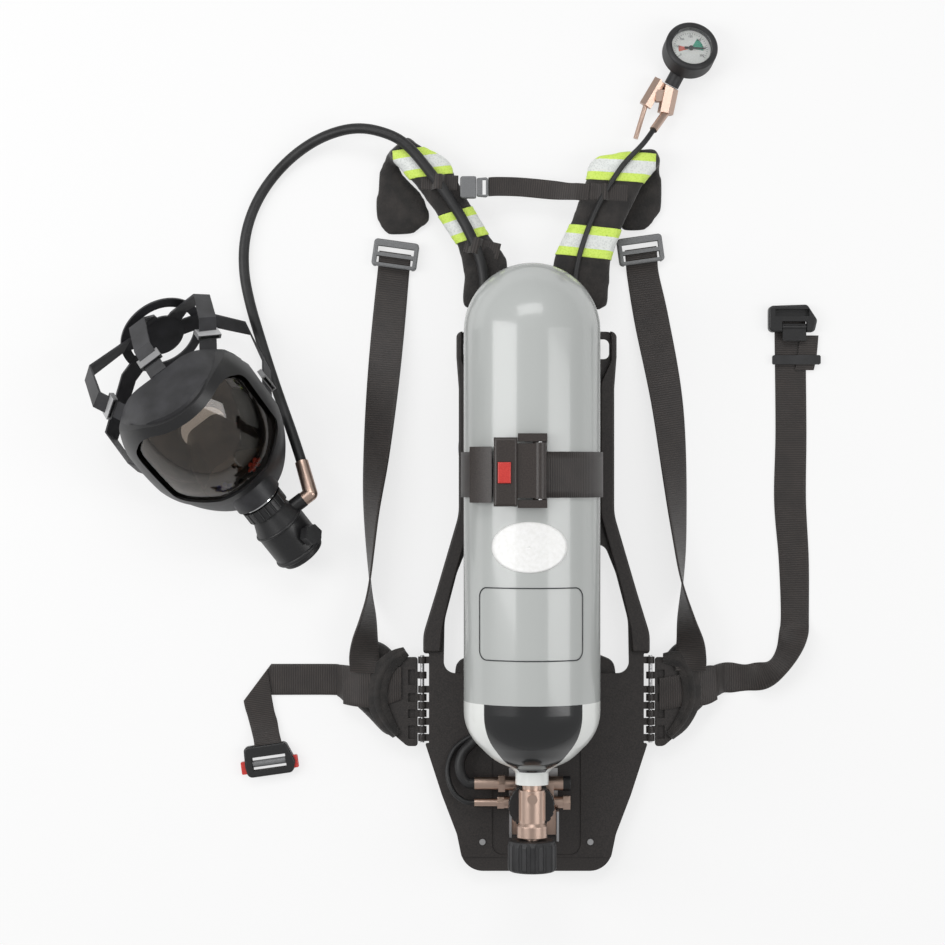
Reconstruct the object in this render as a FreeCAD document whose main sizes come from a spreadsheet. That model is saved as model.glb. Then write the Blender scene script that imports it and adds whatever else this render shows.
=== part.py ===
"""Air pack laid flat for inspection: a steel breathing-air tank on a moulded back plate, with its harness,
pressure reducer, gauge line, supply hose, demand valve and full face mask.

Millimetres. +Z is up from the surface it lies on, +Y runs from the tank's valve to its dome, +X is to the right
as seen from above. The origin is on the resting face of the lumbar pad, under the tank's axis.
"""
import FreeCAD, Part
import math
import os
from FreeCAD import Matrix, Placement, Rotation, Vector

doc = FreeCAD.newDocument("air_pack")
nodes = []

DIMENSIONS = {
    # tank, turned about an axis along Y
    "tank_radius": 70.0, "tank_wall": 4.5, "tank_axis_height": 98.0, "tank_top": 521.0,
    "shoulder_corner": 42.0, "neck_radius": 17.0, "neck_end": -13.0,
    # back plate, hip wings and their hinges
    "plate_bottom": 16.0, "plate_thickness": 5.0, "rail_thickness": 11.0, "plate_offset": 6.5,
    "hinge_half_spacing": 120.5, "hinge_height": 19.0,
    "hinge_pin_radius": 2.0, "knuckle_radius": 4.5, "knuckle_width": 7.0, "running_gap": 0.05,
    "cushion_thickness": 16.0, "cushion_crown": 4.0, "rivet_radius": 3.2,
    # webbing and pads
    "webbing": 2.0, "chest_strap_width": 20.0, "shoulder_pad_crown": 3.0, "chest_pad_thickness": 12.0,
    "band_cloth": 1.2,
    # hoses
    "hose_radius": 5.5, "gauge_line_radius": 2.8,
    # tank band and its lever buckle
    "band_gap": 0.2, "band_thickness": 2.6, "band_width": 48.0, "band_middle": 304.0, "lever_pin_radius": 2.2,
    # valve and reducer
    "handwheel_radius": 25.0, "handwheel_length": 32.0, "handwheel_flutes": 18, "reducer_wheel_radius": 24.0,
    "port_height": 38.0, "valve_radius": 13.5,
    # gauge
    "gauge_radius": 28.0, "gauge_thickness": 25.0, "gauge_face_radius": 20.5, "gauge_tilt": 20.0,
    # mask and demand valve
    "visor_radius": 78.0, "visor_bulge_radius": 165.0, "visor_thickness": 2.2,
    "port_radius": 21.0, "collar_radius": 23.5, "demand_radius": 27.0, "harness_thickness": 2.4,
}

sheet = doc.addObject("Spreadsheet::Sheet", "dims")
for row, (alias, value) in enumerate(DIMENSIONS.items(), start=1):
    sheet.set(f"A{row}", alias)
    sheet.set(f"B{row}", str(value))
    sheet.setAlias(f"B{row}", alias)
doc.recompute()


def cell(alias):
    """The number in a named cell."""
    return float(sheet.get(alias))


def node(thing, name):
    """Marks an object of the document as one sub-part and gives it the name of its file."""
    thing.Label = name
    nodes.append(thing)
    return thing


def feature(name, shape):
    """A sub-part whose shape is made by this script's own functions."""
    thing = doc.addObject("Part::Feature", name)
    thing.Shape = shape
    return node(thing, name)


def outline_edges(corners):
    """Lines and arcs of a closed outline in the XY plane.

    A corner's third number is its rounding radius; it is made smaller where the sides beside it are too short.
    """
    rounded = []
    sharp = [len(corner) < 3 or corner[2] == 0 for corner in corners]
    for i, corner in enumerate(corners):
        here = Vector(corner[0], corner[1], 0)
        radius = 0.0 if sharp[i] else corner[2]
        following = (i + 1) % len(corners)
        back = Vector(*corners[i - 1][:2], 0) - here
        ahead = Vector(*corners[following][:2], 0) - here
        room = min(back.Length * (1.0 if sharp[i - 1] else 0.49), ahead.Length * (1.0 if sharp[following] else 0.49))
        half = back.getAngle(ahead) / 2
        if radius == 0.0 or half > 1.56:
            rounded.append((here, None, here))
            continue
        reach = min(radius / math.tan(half), room)
        radius = reach * math.tan(half)
        back.normalize()
        ahead.normalize()
        middle = (back + ahead).normalize() * (radius / math.sin(half) - radius)
        rounded.append((here + back * reach, here + middle, here + ahead * reach))
    edges = []
    for i, (start, middle, end) in enumerate(rounded):
        if middle is not None:
            edges.append(Part.Arc(start, middle, end))
        following = rounded[(i + 1) % len(rounded)][0]
        if end.distanceToPoint(following) > 1e-4:
            edges.append(Part.LineSegment(end, following))
    return edges


def wire(corners, height=0.0):
    """A closed wire of an outline at a height."""
    made = Part.Wire([edge.toShape() for edge in outline_edges(corners)])
    made.translate(Vector(0, 0, height))
    return made


def prism(corners, bottom, thickness):
    """A straight slab of an outline."""
    return Part.Face(wire(corners, bottom)).extrude(Vector(0, 0, thickness))


def mirrored(corners):
    """The same outline on the other side of the YZ plane."""
    return [(-corner[0], *corner[1:]) for corner in corners]


def both_sides(right):
    """A closed outline from its right half, listed from top to bottom."""
    return list(right) + mirrored(reversed(right))


def sketch_on(body, plane, loops):
    """A sketch of closed outlines on one of a body's own origin planes."""
    made = body.newObject("Sketcher::SketchObject", body.Name + "_sketch")
    made.AttachmentSupport = (next(f for f in body.Origin.OriginFeatures if f.Role == plane), [""])
    made.MapMode = "FlatFace"
    for corners in loops:
        for edge in outline_edges(corners):
            made.addGeometry(edge, False)
    return made


def crowned_body(name, corners, thickness, crown):
    """A body padded up from the floor, with the edges of its upper face rounded over. Both sizes are cells."""
    body = doc.addObject("PartDesign::Body", name)
    pad = body.newObject("PartDesign::Pad", name + "_pad")
    pad.Profile = sketch_on(body, "XY_Plane", [corners])
    pad.setExpression("Length", thickness)
    body.Tip = pad
    doc.recompute()
    top = pad.Shape.BoundBox.ZMax
    rim = [f"Edge{i + 1}" for i, edge in enumerate(pad.Shape.Edges) if edge.BoundBox.ZMin > top - 0.01]
    fillet = body.newObject("PartDesign::Fillet", name + "_crown")
    fillet.Base = (pad, rim)
    fillet.setExpression("Radius", crown)
    body.Tip = fillet
    return node(body, name)


def turned(name, profile, placement):
    """A body turned about its Z axis from a profile of radius and height, then placed."""
    body = doc.addObject("PartDesign::Body", name)
    turn = body.newObject("PartDesign::Revolution", name + "_turn")
    sketch = sketch_on(body, "XZ_Plane", [profile])
    turn.Profile = sketch
    turn.ReferenceAxis = (sketch, ["V_Axis"])
    turn.Angle = 360
    body.Tip = turn
    body.Placement = placement
    return node(body, name)


def round_bar(name, start, end, radius_cell):
    """A sub-part that is a plain round bar between two points: its radius is a cell."""
    bar = doc.addObject("Part::Cylinder", name)
    along = Vector(end) - Vector(start)
    bar.setExpression("Radius", "dims." + radius_cell)
    bar.Height = along.Length
    bar.Placement = Placement(Vector(start), Rotation(Vector(0, 0, 1), along))
    return node(bar, name)


def rod(start, end, radius, end_radius=None):
    """A cylinder or cone between two points."""
    start = Vector(start)
    along = Vector(end) - start
    if end_radius is None:
        return Part.makeCylinder(radius, along.Length, start, along)
    return Part.makeCone(radius, end_radius, along.Length, start, along)


def box(low, high):
    """A block between two corners."""
    low = Vector(low)
    size = Vector(high) - low
    return Part.makeBox(size.x, size.y, size.z, low)


def fused(shapes):
    """One solid from several that overlap."""
    first, *others = shapes
    return first.multiFuse(others).removeSplitter()


def soften(shape, radius, wanted):
    """Rounds the edges for which wanted(edge) is true."""
    chosen = [edge for edge in shape.Edges if wanted(edge)]
    return shape.makeFillet(radius, chosen)


def ribbon(stations, thickness):
    """Webbing: a ruled loft through rectangles. A station is x, y, z, width, heading and roll, in degrees."""
    sections = []
    for x, y, z, width, heading, roll in stations:
        turn = Rotation(Vector(0, 0, 1), heading).multiply(Rotation(Vector(1, 0, 0), roll))
        across = turn.multVec(Vector(0, width / 2, 0))
        up = turn.multVec(Vector(0, 0, thickness / 2))
        middle = Vector(x, y, z)
        corners = [middle + across + up, middle - across + up, middle - across - up, middle + across - up]
        sections.append(Part.makePolygon(corners + corners[:1]))
    return Part.makeLoft(sections, True, True)


def rounded_path(points):
    """Straight runs joined by tangent arcs as large as the runs allow, and the smallest of their radii."""
    points = [Vector(point) for point in points]
    edges = []
    radii = []
    start = points[0]
    for before, here, after in zip(points, points[1:], points[2:]):
        back = before - here
        ahead = after - here
        reach = 0.45 * min(back.Length, ahead.Length)
        half = back.getAngle(ahead) / 2
        radius = reach * math.tan(half)
        back.normalize()
        ahead.normalize()
        middle = here + (back + ahead).normalize() * (radius / math.sin(half) - radius)
        edges.append(Part.LineSegment(start, here + back * reach))
        edges.append(Part.Arc(here + back * reach, middle, here + ahead * reach))
        start = here + ahead * reach
        radii.append(radius)
    edges.append(Part.LineSegment(start, points[-1]))
    return Part.Wire([edge.toShape() for edge in edges]), min(radii)


def hose(name, route, radius_cell):
    """A round hose: a circle whose radius is a cell, swept along a rounded path."""
    path, tightest = rounded_path(route)
    spine = doc.addObject("Part::Feature", name + "_path")
    spine.Shape = path
    ring = doc.addObject("Part::Circle", name + "_ring")
    ring.setExpression("Radius", "dims." + radius_cell)
    heading = Vector(route[1]) - Vector(route[0])
    ring.Placement = Placement(Vector(route[0]), Rotation(Vector(0, 0, 1), heading))
    sweep = doc.addObject("Part::Sweep", name)
    sweep.Sections = [ring]
    sweep.Spine = (spine, [f"Edge{i + 1}" for i in range(len(path.Edges))])
    sweep.Solid = True
    sweep.Frenet = True
    section = math.pi * cell(radius_cell) ** 2
    print(f"{name}: length {path.Length:.0f} mm, tightest bend {tightest:.0f} mm, volume {section * path.Length:.0f}")
    return node(sweep, name)


along_tank = Rotation(Vector(1, 0, 0), -90)
tank_height = cell("tank_axis_height")
plate_top = cell("plate_bottom") + cell("plate_thickness")


def make_tank():
    """Steel cylinder: hemispherical dome at the top, a drawn shoulder and a collared neck at the valve end."""
    outer = cell("tank_radius")
    inner = outer - cell("tank_wall")
    top = cell("tank_top")
    neck = cell("neck_radius")
    bore = neck - cell("tank_wall")
    corner = cell("shoulder_corner")
    wall = cell("tank_wall")
    profile = [
        (0, top), (outer, top, outer), (outer, corner, 60), (corner - 2, 12, 60), (neck + 5, 4, 8), (neck, -1, 3),
        (neck, cell("neck_end")), (bore, cell("neck_end")), (bore, 6, 3), (corner - 6, 17, 60),
        (inner, corner + 3, 50), (inner, top - wall, inner), (0, top - wall),
    ]
    body = turned("tank", profile, Placement(Vector(0, 0, tank_height), along_tank))
    body.setExpression("Placement.Base.z", "dims.tank_axis_height")


def make_valve():
    """Valve body on the tank's neck, with its outlet pointing down at the reducer and a burst disc plug on top."""
    axis = tank_height
    radius = cell("valve_radius")
    parts = [
        rod((0, -13, axis), (0, -20, axis), 10),
        rod((0, -19, axis), (0, -53, axis), radius),
        box((-radius, -50, axis - radius), (radius, -21, axis + 6)),
        rod((0, -51, axis), (0, -56, axis), radius - 1, 15.5),
        rod((0, -56, axis), (0, -68, axis), 15.5),
        rod((0, -38, axis), (0, -38, axis - 24), 10),
        rod((0, -27, axis + 8), (0, -27, axis + 16), 5.2),
        rod((0, -68, axis), (0, -70.1, axis), 7),
        rod((0, -68, axis), (0, -76, axis), 3.94),
    ]
    feature("tank_valve", soften(fused(parts), 0.8, lambda e: abs(e.Length - 2 * math.pi * 15.5) < 0.1))


def make_handwheel():
    """Fluted rubber handwheel on the valve's spindle."""
    radius = cell("handwheel_radius")
    length = cell("handwheel_length")
    bore = 4
    hollow = length - 3
    profile = [(bore, 0), (radius - 2, 0, 2), (radius, 5, 4), (radius, length, 4), (radius - 9, length),
               (radius - 12, hollow), (0, hollow), (0, 6), (bore, 6)]
    place = Placement(Vector(0, -70.3, tank_height), Rotation(Vector(1, 0, 0), 90))
    body = turned("valve_handwheel", profile, place)
    body.setExpression("Placement.Base.z", "dims.tank_axis_height")
    doc.recompute()
    groove = body.newObject("Sketcher::SketchObject", "flute_sketch")
    groove.AttachmentSupport = (next(f for f in body.Origin.OriginFeatures if f.Role == "XY_Plane"), [""])
    groove.MapMode = "FlatFace"
    groove.addGeometry(Part.Circle(Vector(radius + 0.7, 0, 0), Vector(0, 0, 1), 2.4), False)
    flute = body.newObject("PartDesign::Pocket", "flute")
    flute.Profile = groove
    flute.Type = 1
    flute.Midplane = True
    around = body.newObject("PartDesign::PolarPattern", "flutes")
    around.Originals = [flute]
    around.Axis = (next(f for f in body.Origin.OriginFeatures if f.Role == "Z_Axis"), [""])
    around.Angle = 360
    around.setExpression("Occurrences", "dims.handwheel_flutes")
    body.Tip = around


# Right half of the back plate about its own middle line, from the carrying loop down to the bottom edge.
PLATE_SIDE = [(84.5, 455, 11), (84.5, 428, 20), (82, 395, 40), (82, 262, 60), (106, 180, 120), (119.5, 136, 40),
              (119.5, 115, 3), (113.5, 115, 1), (113.5, 20, 1), (117.5, 20, 3), (100, -34, 60), (84, -76, 30),
              (76, -115, 44)]
WINDOW = [(45, 230, 8), (72, 230, 12), (84, 200, 60), (97, 150, 60), (98, 94, 12), (45, 94, 10)]
CARRY_SLOT = [(54, 447, 4), (77, 447, 6), (77, 426, 6), (54, 426, 4)]
STRAP_SLOT = [(18, 447, 2), (46, 447, 2), (46, 440, 2), (18, 440, 2)]
RAIL = [(84.5, 455, 11), (84.5, 428, 20), (82, 395, 40), (82, 262, 60), (106, 180, 120), (119.5, 136, 40),
        (119.5, 117, 2), (101, 117, 2), (99, 140, 50), (90, 180, 110), (67, 262, 50), (67, 400, 20), (78, 424, 8),
        (78, 455, 0)]
PLATE_KNUCKLES = [108, 77, 60, 43, 26]
WING_KNUCKLES = [92, 68.5, 51.5, 34.5]
WING_WINDOWS = [(82, 98), (64, 73), (47, 56), (25, 39)]
# Hip wings, by their distance from the hinge's axis. The right one is narrower in the picture.
WING_LEFT = [(5, 111, 3), (36, 111, 10), (42, 52, 30), (29, 28, 20), (16, 17, 8), (5, 17, 3)]
WING_RIGHT = [(5, 111, 3), (31, 111, 10), (35, 52, 30), (27, 28, 20), (14, 17, 8), (5, 17, 3)]
RIVET_REACH = 57
RIVET_Y = -84


def hinge_axis(side):
    """Where a hinge's axis lies across the pack: the plate sits a little to the right of the tank."""
    return side * cell("hinge_half_spacing") + cell("plate_offset")


def knuckles(side, places, reach):
    """Hinge knuckles about the pin, with webs that reach outwards, or inwards when the reach is negative."""
    axis_x = hinge_axis(side)
    height = cell("hinge_height")
    half = cell("knuckle_width") / 2
    made = []
    for y in places:
        made.append(rod((axis_x, y - half, height), (axis_x, y + half, height), cell("knuckle_radius")))
        low_x, high_x = sorted((axis_x, axis_x + side * reach))
        made.append(box((low_x, y - half, cell("plate_bottom")), (high_x, y + half, plate_top)))
    return made


def hinge_bore(side):
    """The clear bore of one hinge."""
    axis_x = hinge_axis(side)
    height = cell("hinge_height")
    return rod((axis_x, 0, height), (axis_x, 130, height), cell("hinge_pin_radius") + cell("running_gap"))


def make_back_plate():
    """Moulded plate with raised side rails, two windows, carrying slots and the hinges' fixed knuckles."""
    holes = [WINDOW, mirrored(WINDOW), CARRY_SLOT, mirrored(CARRY_SLOT), STRAP_SLOT, mirrored(STRAP_SLOT)]
    bottom = cell("plate_bottom")
    panel = prism(both_sides(PLATE_SIDE), bottom, cell("plate_thickness"))
    for hole in holes:
        panel = panel.cut(prism(hole, bottom - 1, cell("plate_thickness") + 2))
    trough = prism([(-47, 80, 6), (47, 80, 6), (47, -98, 12), (-47, -98, 12)], plate_top - 1.6, 3)
    lip = box((-120, -130, plate_top - 1.8), (120, -100, plate_top + 1))
    panel = panel.cut(trough).cut(lip)
    rails = [prism(rail, bottom, cell("rail_thickness")) for rail in (RAIL, mirrored(RAIL))]
    rails = [soften(rail, 2.0, lambda e: e.BoundBox.ZMin > bottom + cell("rail_thickness") - 0.01) for rail in rails]
    middle = fused([panel, *rails])
    for x in (-RIVET_REACH, RIVET_REACH):
        middle = middle.cut(rod((x, RIVET_Y, 0), (x, RIVET_Y, 40), 1.6))
    middle.translate(Vector(cell("plate_offset"), 0, 0))
    whole = fused([middle, *knuckles(1, PLATE_KNUCKLES, -10), *knuckles(-1, PLATE_KNUCKLES, -10)])
    feature("back_plate", whole.cut(hinge_bore(1)).cut(hinge_bore(-1)))


def crowned_pad(corners, thickness, crown, bottom=0.0):
    """A foam cushion: a slab whose upper edge is rounded over so that it crowns."""
    slab = prism(corners, bottom, thickness)
    return soften(slab, crown, lambda e: e.BoundBox.ZMin > bottom + thickness - 0.01)


def make_back_pads():
    """Lumbar cushion under the plate's lower end and a back cushion under its upper end."""
    thick = cell("cushion_thickness")
    lumbar = crowned_pad(both_sides([(60, 118, 10), (88, 110, 14), (90, 20, 8), (88, -20, 30), (79, -80, 30),
                                     (76, -118, 36)]), thick, cell("cushion_crown"))
    upper_back = [(70, 385, 14), (80, 360, 12), (86, 335, 14), (80, 300, 12), (68, 262, 16)]
    back = crowned_pad(both_sides(upper_back), thick, cell("cushion_crown"))
    pads = Part.makeCompound([lumbar, back])
    pads.translate(Vector(cell("plate_offset"), 0, 0))
    feature("back_pads", pads)


def make_plate_hardware():
    """Hinge pins, and the rivets that hold the lumbar pad and the reducer's bracket."""
    height = cell("hinge_height")
    solids = []
    for side in (-1, 1):
        x = hinge_axis(side)
        solids.append(rod((x, 21, height), (x, 113, height), cell("hinge_pin_radius")))
        x = side * RIVET_REACH + cell("plate_offset")
        rivet = rod((x, RIVET_Y, plate_top), (x, RIVET_Y, plate_top + 1.5), cell("rivet_radius"))
        shank = rod((x, RIVET_Y, cell("plate_bottom")), (x, RIVET_Y, plate_top + 1), 1.6)
        solids.append(rivet.fuse(shank))
        screw = rod((side * 23, 3, plate_top - 1.6), (side * 23, 3, plate_top + 0.8), 2.4)
        solids.append(screw)
    feature("plate_hardware", Part.makeCompound(solids))


def make_hip_wing(name, side):
    """Hinged hip plate with its own knuckles and four windows beside the hinge."""
    axis_x = hinge_axis(side)

    def placed(corners):
        return [(axis_x + side * corner[0], *corner[1:]) for corner in corners]

    plate = prism(placed(WING_LEFT if side < 0 else WING_RIGHT), cell("plate_bottom"), cell("plate_thickness"))
    plate = soften(plate, 1.2, lambda e: e.BoundBox.ZMin > plate_top - 0.01)
    for low, high in WING_WINDOWS:
        window = placed([(7.5, low), (15, low), (15, high), (7.5, high)])
        plate = plate.cut(prism(window, cell("plate_bottom") + 2, 10))
    whole = fused([plate, *knuckles(side, WING_KNUCKLES, 6)])
    feature(name, whole.cut(hinge_bore(side)))


def make_hip_pad(name, side):
    """Cushion under a hip wing: a pad whose upper rim is rounded over."""
    inner = 133 if side < 0 else 138
    corners = [(inner, 104, 6), (150, 122, 10), (167, 131, 8), (180, 112, 14), (190, 95, 12), (188, 60, 8),
               (176, 52, 6), (158, 30, 10), (146, 24, 6), (inner, 34, 4)]
    place = mirrored if side < 0 else list
    crowned_body(name, place(corners), "dims.cushion_thickness", "dims.cushion_crown")


# Waist belts, in stations of x, y, z, width, heading and roll.
BELT_LEFT = [(-136, 84, 22.05, 34, 180, 0), (-160, 80, 22.05, 42, 180, 0), (-184, 80, 17.8, 42, 180, 0),
             (-194, 82, 14.5, 40, 180, 0), (-203, 85, 3.5, 34, 180, 0), (-212, 86, 1, 33, 180, 0),
             (-272, 86, 1, 33, 180, 0)]
# The left belt is folded over on a slant, and its end runs down into the buckle.
BELT_FOLD = [(-271, 102.5), (-275, 102.5), (-305.5, 62), (-303, 56), (-272, 56), (-271, 70)]
BELT_LEFT_DOWN = [(-288.5, 60, 3.2, 32, 261, 0), (-284.5, 45, 3.2, 32, 261, 0), (-281.5, 32, 5, 31, 260, 0),
                  (-278, 19.5, 9.8, 31, 260, 0), (-277, 12, 9.8, 31, 260, 0)]
BELT_RIGHT = [(136, 72, 22.05, 34, 0, 0), (160, 76, 22.05, 34, 2, 0), (186, 82, 18.4, 33, 4, 0),
              (197, 86, 14.5, 33, 4, 0), (206, 88, 3.5, 32, 0, 0), (215, 88, 1.1, 32, 0, 0), (231, 88, 1.1, 28, 3, 0),
              (247, 91, 10, 32, 18, -32), (261, 99, 15, 32, 44, -56), (272, 114, 14, 32, 66, -50),
              (279, 132, 9.5, 32, 80, -28), (282, 152, 1.6, 30, 88, 0), (281, 213, 1.1, 32, 93, 0),
              (277, 277, 1.1, 34, 91, 0), (278, 351, 1.1, 33, 90, 0), (277, 452, 1.1, 33, 90, 0),
              (277, 470, 3.0, 33, 90, 0)]
BELT_TAIL = [(292, 415, 3.1, 20, 90, 0), (297, 440, 3.1, 20, 90, 0), (297, 452, 3.1, 20, 90, 0)]
# Pull straps from the adjusters down to the hip wings: they twist edge-on on the way.
STRAP_LEFT = [(-143.0, 539.5, 7.0, 34, 262, 0), (-144.1, 527, 6.6, 34, 262, 0), (-145.9, 511, 1.4, 34, 262, 0),
              (-155.7, 404, 9.5, 37, 266, 24), (-163, 323, 14.2, 37, 265, 43), (-168, 263, 18.2, 37, 266, 64),
              (-169.6, 188, 20.0, 37, 270, 90), (-171, 155, 27.5, 37, 268, 112), (-174, 130, 31.5, 36, 265, 134),
              (-175, 112, 29.2, 34, 265, 154), (-174, 95, 26.8, 32, 265, 176)]
STRAP_RIGHT = [(117.5, 544.5, 7.0, 34, 278, 0), (118.6, 532, 6.6, 34, 278, 0), (120.6, 515, 1.4, 34, 277, 0),
               (129.5, 468, 2.9, 37, 278, -4), (146.5, 373, 9.2, 37, 280, -24), (157, 250, 17.2, 37, 276, -60),
               (160.5, 195, 19.8, 37, 274, -82), (164, 155, 27.5, 37, 272, -112), (168, 130, 31.5, 36, 270, -136),
               (169, 112, 29.2, 34, 270, -156), (169, 97, 26.8, 32, 270, -176)]


def make_belts():
    """Both halves of the waist belt and the two pull straps, as webbing."""
    thick = cell("webbing")
    left = ribbon(BELT_LEFT, thick)
    fold = prism(BELT_FOLD, 0.0, 2 * thick + 0.2)
    feature("waist_belt_left", fused([left, fold, ribbon(BELT_LEFT_DOWN, thick)]))
    feature("waist_belt_right", fused([ribbon(BELT_RIGHT, thick), ribbon(BELT_TAIL, thick)]))
    feature("pull_strap_left", ribbon(STRAP_LEFT, thick))
    feature("pull_strap_right", ribbon(STRAP_RIGHT, thick))


def make_waist_buckle():
    """Receiver at the left: a frame with two bars, a roller between them and a red release button at each end."""
    place = Placement(Vector(-277, 1, 0), Rotation(Vector(0, 0, 1), 8))
    outer = [(-25, 17, 5), (20, 17, 5), (28, -4, 6), (24, -16, 6), (-24, -16, 6), (-26, -4, 6)]
    slot = [(-18, 5), (18, 5), (18, -9), (-18, -9)]
    frame = prism(outer, 0, 13)
    frame = soften(frame, 2.2, lambda e: e.BoundBox.ZMin > 12.9)
    frame = frame.cut(prism(slot, -1, 20))
    frame = frame.cut(box((-17.5, 5, 6.6), (17.5, 19, 11.4)))
    frame = frame.cut(box((19.8, -12, 3), (40, 2, 10)))
    frame = frame.cut(box((-40, -12, 3), (-19.8, 2, 10)))
    roller = rod((-17.6, -2, 8), (17.6, -2, 8), 3.6)
    for side in (-1, 1):
        bore = rod((side * 17, -2, 8), (side * 19.2, -2, 8), 1.55)
        frame = frame.cut(bore)
        roller = roller.fuse(rod((side * 17, -2, 8), (side * 19, -2, 8), 1.5))
    frame.Placement = place
    feature("buckle_frame", frame)
    roller = roller.removeSplitter()
    roller.Placement = place
    feature("buckle_roller", roller)
    for name, side in (("release_button_outer", -1), ("release_button_inner", 1)):
        low, high = sorted((side * 22.0, side * 30.5))
        button = box((low, -11.7, 3.3), (high, 1.7, 9.7))
        button = soften(button, 1.5, lambda e: e.BoundBox.XLength < 0.01 and abs(e.CenterOfMass.x) > 30)
        button.Placement = place
        feature(name, button)


def make_belt_end():
    """Right end of the belt: the tongue that enters the receiver, with its adjusting tab and a keeper."""
    outline = [(253.3, 483, 5), (294, 484.4, 5), (304.7, 468, 5), (301.7, 455.3, 4), (253.3, 455.3, 5)]
    housing = prism(outline, 0, 13)
    housing = soften(housing, 2.0, lambda e: e.BoundBox.ZMin > 12.9)
    housing = housing.cut(prism([(260, 479.5), (296, 479.5), (296, 472), (260, 472)], 6, 10))
    housing = housing.cut(box((259.5, 440, -1), (294.5, 471, 4.6)))
    housing = housing.cut(box((267.3, 440, 4.5), (293.7, 466.5, 20)))
    housing = housing.cut(rod((263, 460.5, 9), (297.5, 460.5, 9), 1.55))
    feature("buckle_tongue", housing)
    tab = box((268, 446, 7), (293, 464, 11))
    tab = tab.fuse(rod((268, 460.5, 9), (293, 460.5, 9), 3)).fuse(rod((264, 460.5, 9), (296.5, 460.5, 9), 1.5))
    feature("adjuster_tab", tab.removeSplitter())
    keeper = prism([(258, 431, 2), (309, 431, 2), (309, 421, 2), (258, 421, 2)], 0, 6.6)
    keeper = keeper.cut(box((260, 400, 0), (307, 460, 4.6)))
    feature("belt_keeper", keeper)


PAD_LEFT = [(-147.4, 640, 6), (-104.5, 581.8, 60), (-78, 543, 30), (-71.5, 512, 60), (-72, 476, 8), (-20, 476, 8),
            (-21, 532, 8), (-41.7, 557.6, 40), (-61, 590, 60), (-86, 637, 18), (-98, 643, 8), (-127.5, 660, 6)]
PAD_RIGHT = [(69, 640, 8), (61, 633, 8), (55, 612, 40), (38, 565, 60), (20.5, 530, 40), (18, 476, 8), (80, 476, 8),
             (84, 500, 60), (88, 536, 60), (100, 565, 60), (119, 605, 40), (137, 632.6, 6), (129, 636, 6),
             (118.8, 650, 6)]
LEAF_LEFT = [(-141, 634, 4), (-128, 655, 4), (-150, 650, 6), (-160, 630, 20), (-166, 590, 20), (-164, 572, 8),
             (-156, 562, 6), (-120, 562, 8), (-104, 574, 10), (-112, 600, 20)]
LEAF_RIGHT = [(100, 646, 4), (134, 644, 6), (141, 620, 20), (143, 590, 14), (136, 576, 10), (126, 567, 6),
              (98, 564, 6), (92, 575, 10), (98, 610, 20)]
BANDS_LEFT = [[(-126.6, 662), (-150, 641.5), (-128, 613.5), (-111, 631), (-84, 624), (-102, 648)],
              [(-98.5, 580.5), (-57, 588), (-38, 557.5), (-80, 547)]]
BANDS_RIGHT = [[(68.5, 641.5), (118.9, 651.6), (131, 634), (119.5, 608.5), (94.4, 616.4), (61.5, 624), (60, 634)],
               [(44, 573), (96, 561), (84, 527.5), (18.5, 535)]]


def make_shoulder_pad(name, pad, leaf, tab_low, tab_high, fold, adjuster):
    """Shoulder strap: a cushion over a folded-back leaf, with webbing tabs to the plate and to the adjuster."""
    upper = crowned_pad(pad, cell("chest_pad_thickness"), cell("shoulder_pad_crown"), plate_top)
    lower = crowned_pad(leaf, 10, 2.5, 1.0)
    turn = prism(fold, 1, plate_top + 6)
    tab = box((tab_low, 442, plate_top), (tab_high, 480, plate_top + cell("webbing")))
    sewn = box((-17, 5.6, 5.6), (17, 38, 5.6 + cell("webbing")))
    end = box((tab_low, 442, plate_top - 4), (tab_high, 444, plate_top + cell("webbing")))
    sewn.Placement = adjuster
    shape = fused([upper, lower, turn, tab, end, sewn])
    feature(name, shape)
    return shape


def make_bands(pads):
    """Reflective bands sewn round the shoulder pads."""
    top = plate_top + cell("chest_pad_thickness") + cell("band_cloth")
    solids = []
    for pad, outlines in zip(pads, (BANDS_LEFT, BANDS_RIGHT)):
        for corners in outlines:
            solids.append(prism(corners, plate_top + 2, top - plate_top - 2).cut(pad))
    feature("reflective_bands", Part.makeCompound(solids))
    return solids


def make_loops(pads, bands, routes, hoses):
    """Webbing loops that hold the hoses down on the shoulder pads. A loop is an outline and a hose crossing."""
    pad_top = plate_top + cell("chest_pad_thickness")
    solids = []
    for corners, start, end, radius in routes:
        flat = prism(corners, pad_top, cell("webbing"))
        arch = rod(start, end, radius + cell("webbing"))
        both = flat.fuse(arch).common(prism(corners, pad_top, 30))
        for other in (*pads, *bands, *hoses):
            both = both.cut(other)
        solids.append(both)
    feature("hose_loops", Part.makeCompound(solids))


def make_adjuster(name, place):
    """Ladder adjuster: a frame of three bars that the pull strap threads."""
    frame = prism([(-24, 15, 4), (24, 15, 4), (24, -14, 4), (-24, -14, 4)], 0.5, 12)
    frame = soften(frame, 2.0, lambda e: e.BoundBox.ZMin > 12.4)
    for low, high in (((-19.5, 1, -1), (19.5, 8, 20)), ((-19.5, -10, -1), (19.5, -3, 20)),
                      ((-19.5, -20, 4.6), (19.5, 20, 9.4)), ((-19.5, -20, -1), (19.5, -9, 9.4))):
        frame = frame.cut(box(low, high))
    frame.Placement = place
    feature(name, frame)


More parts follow.
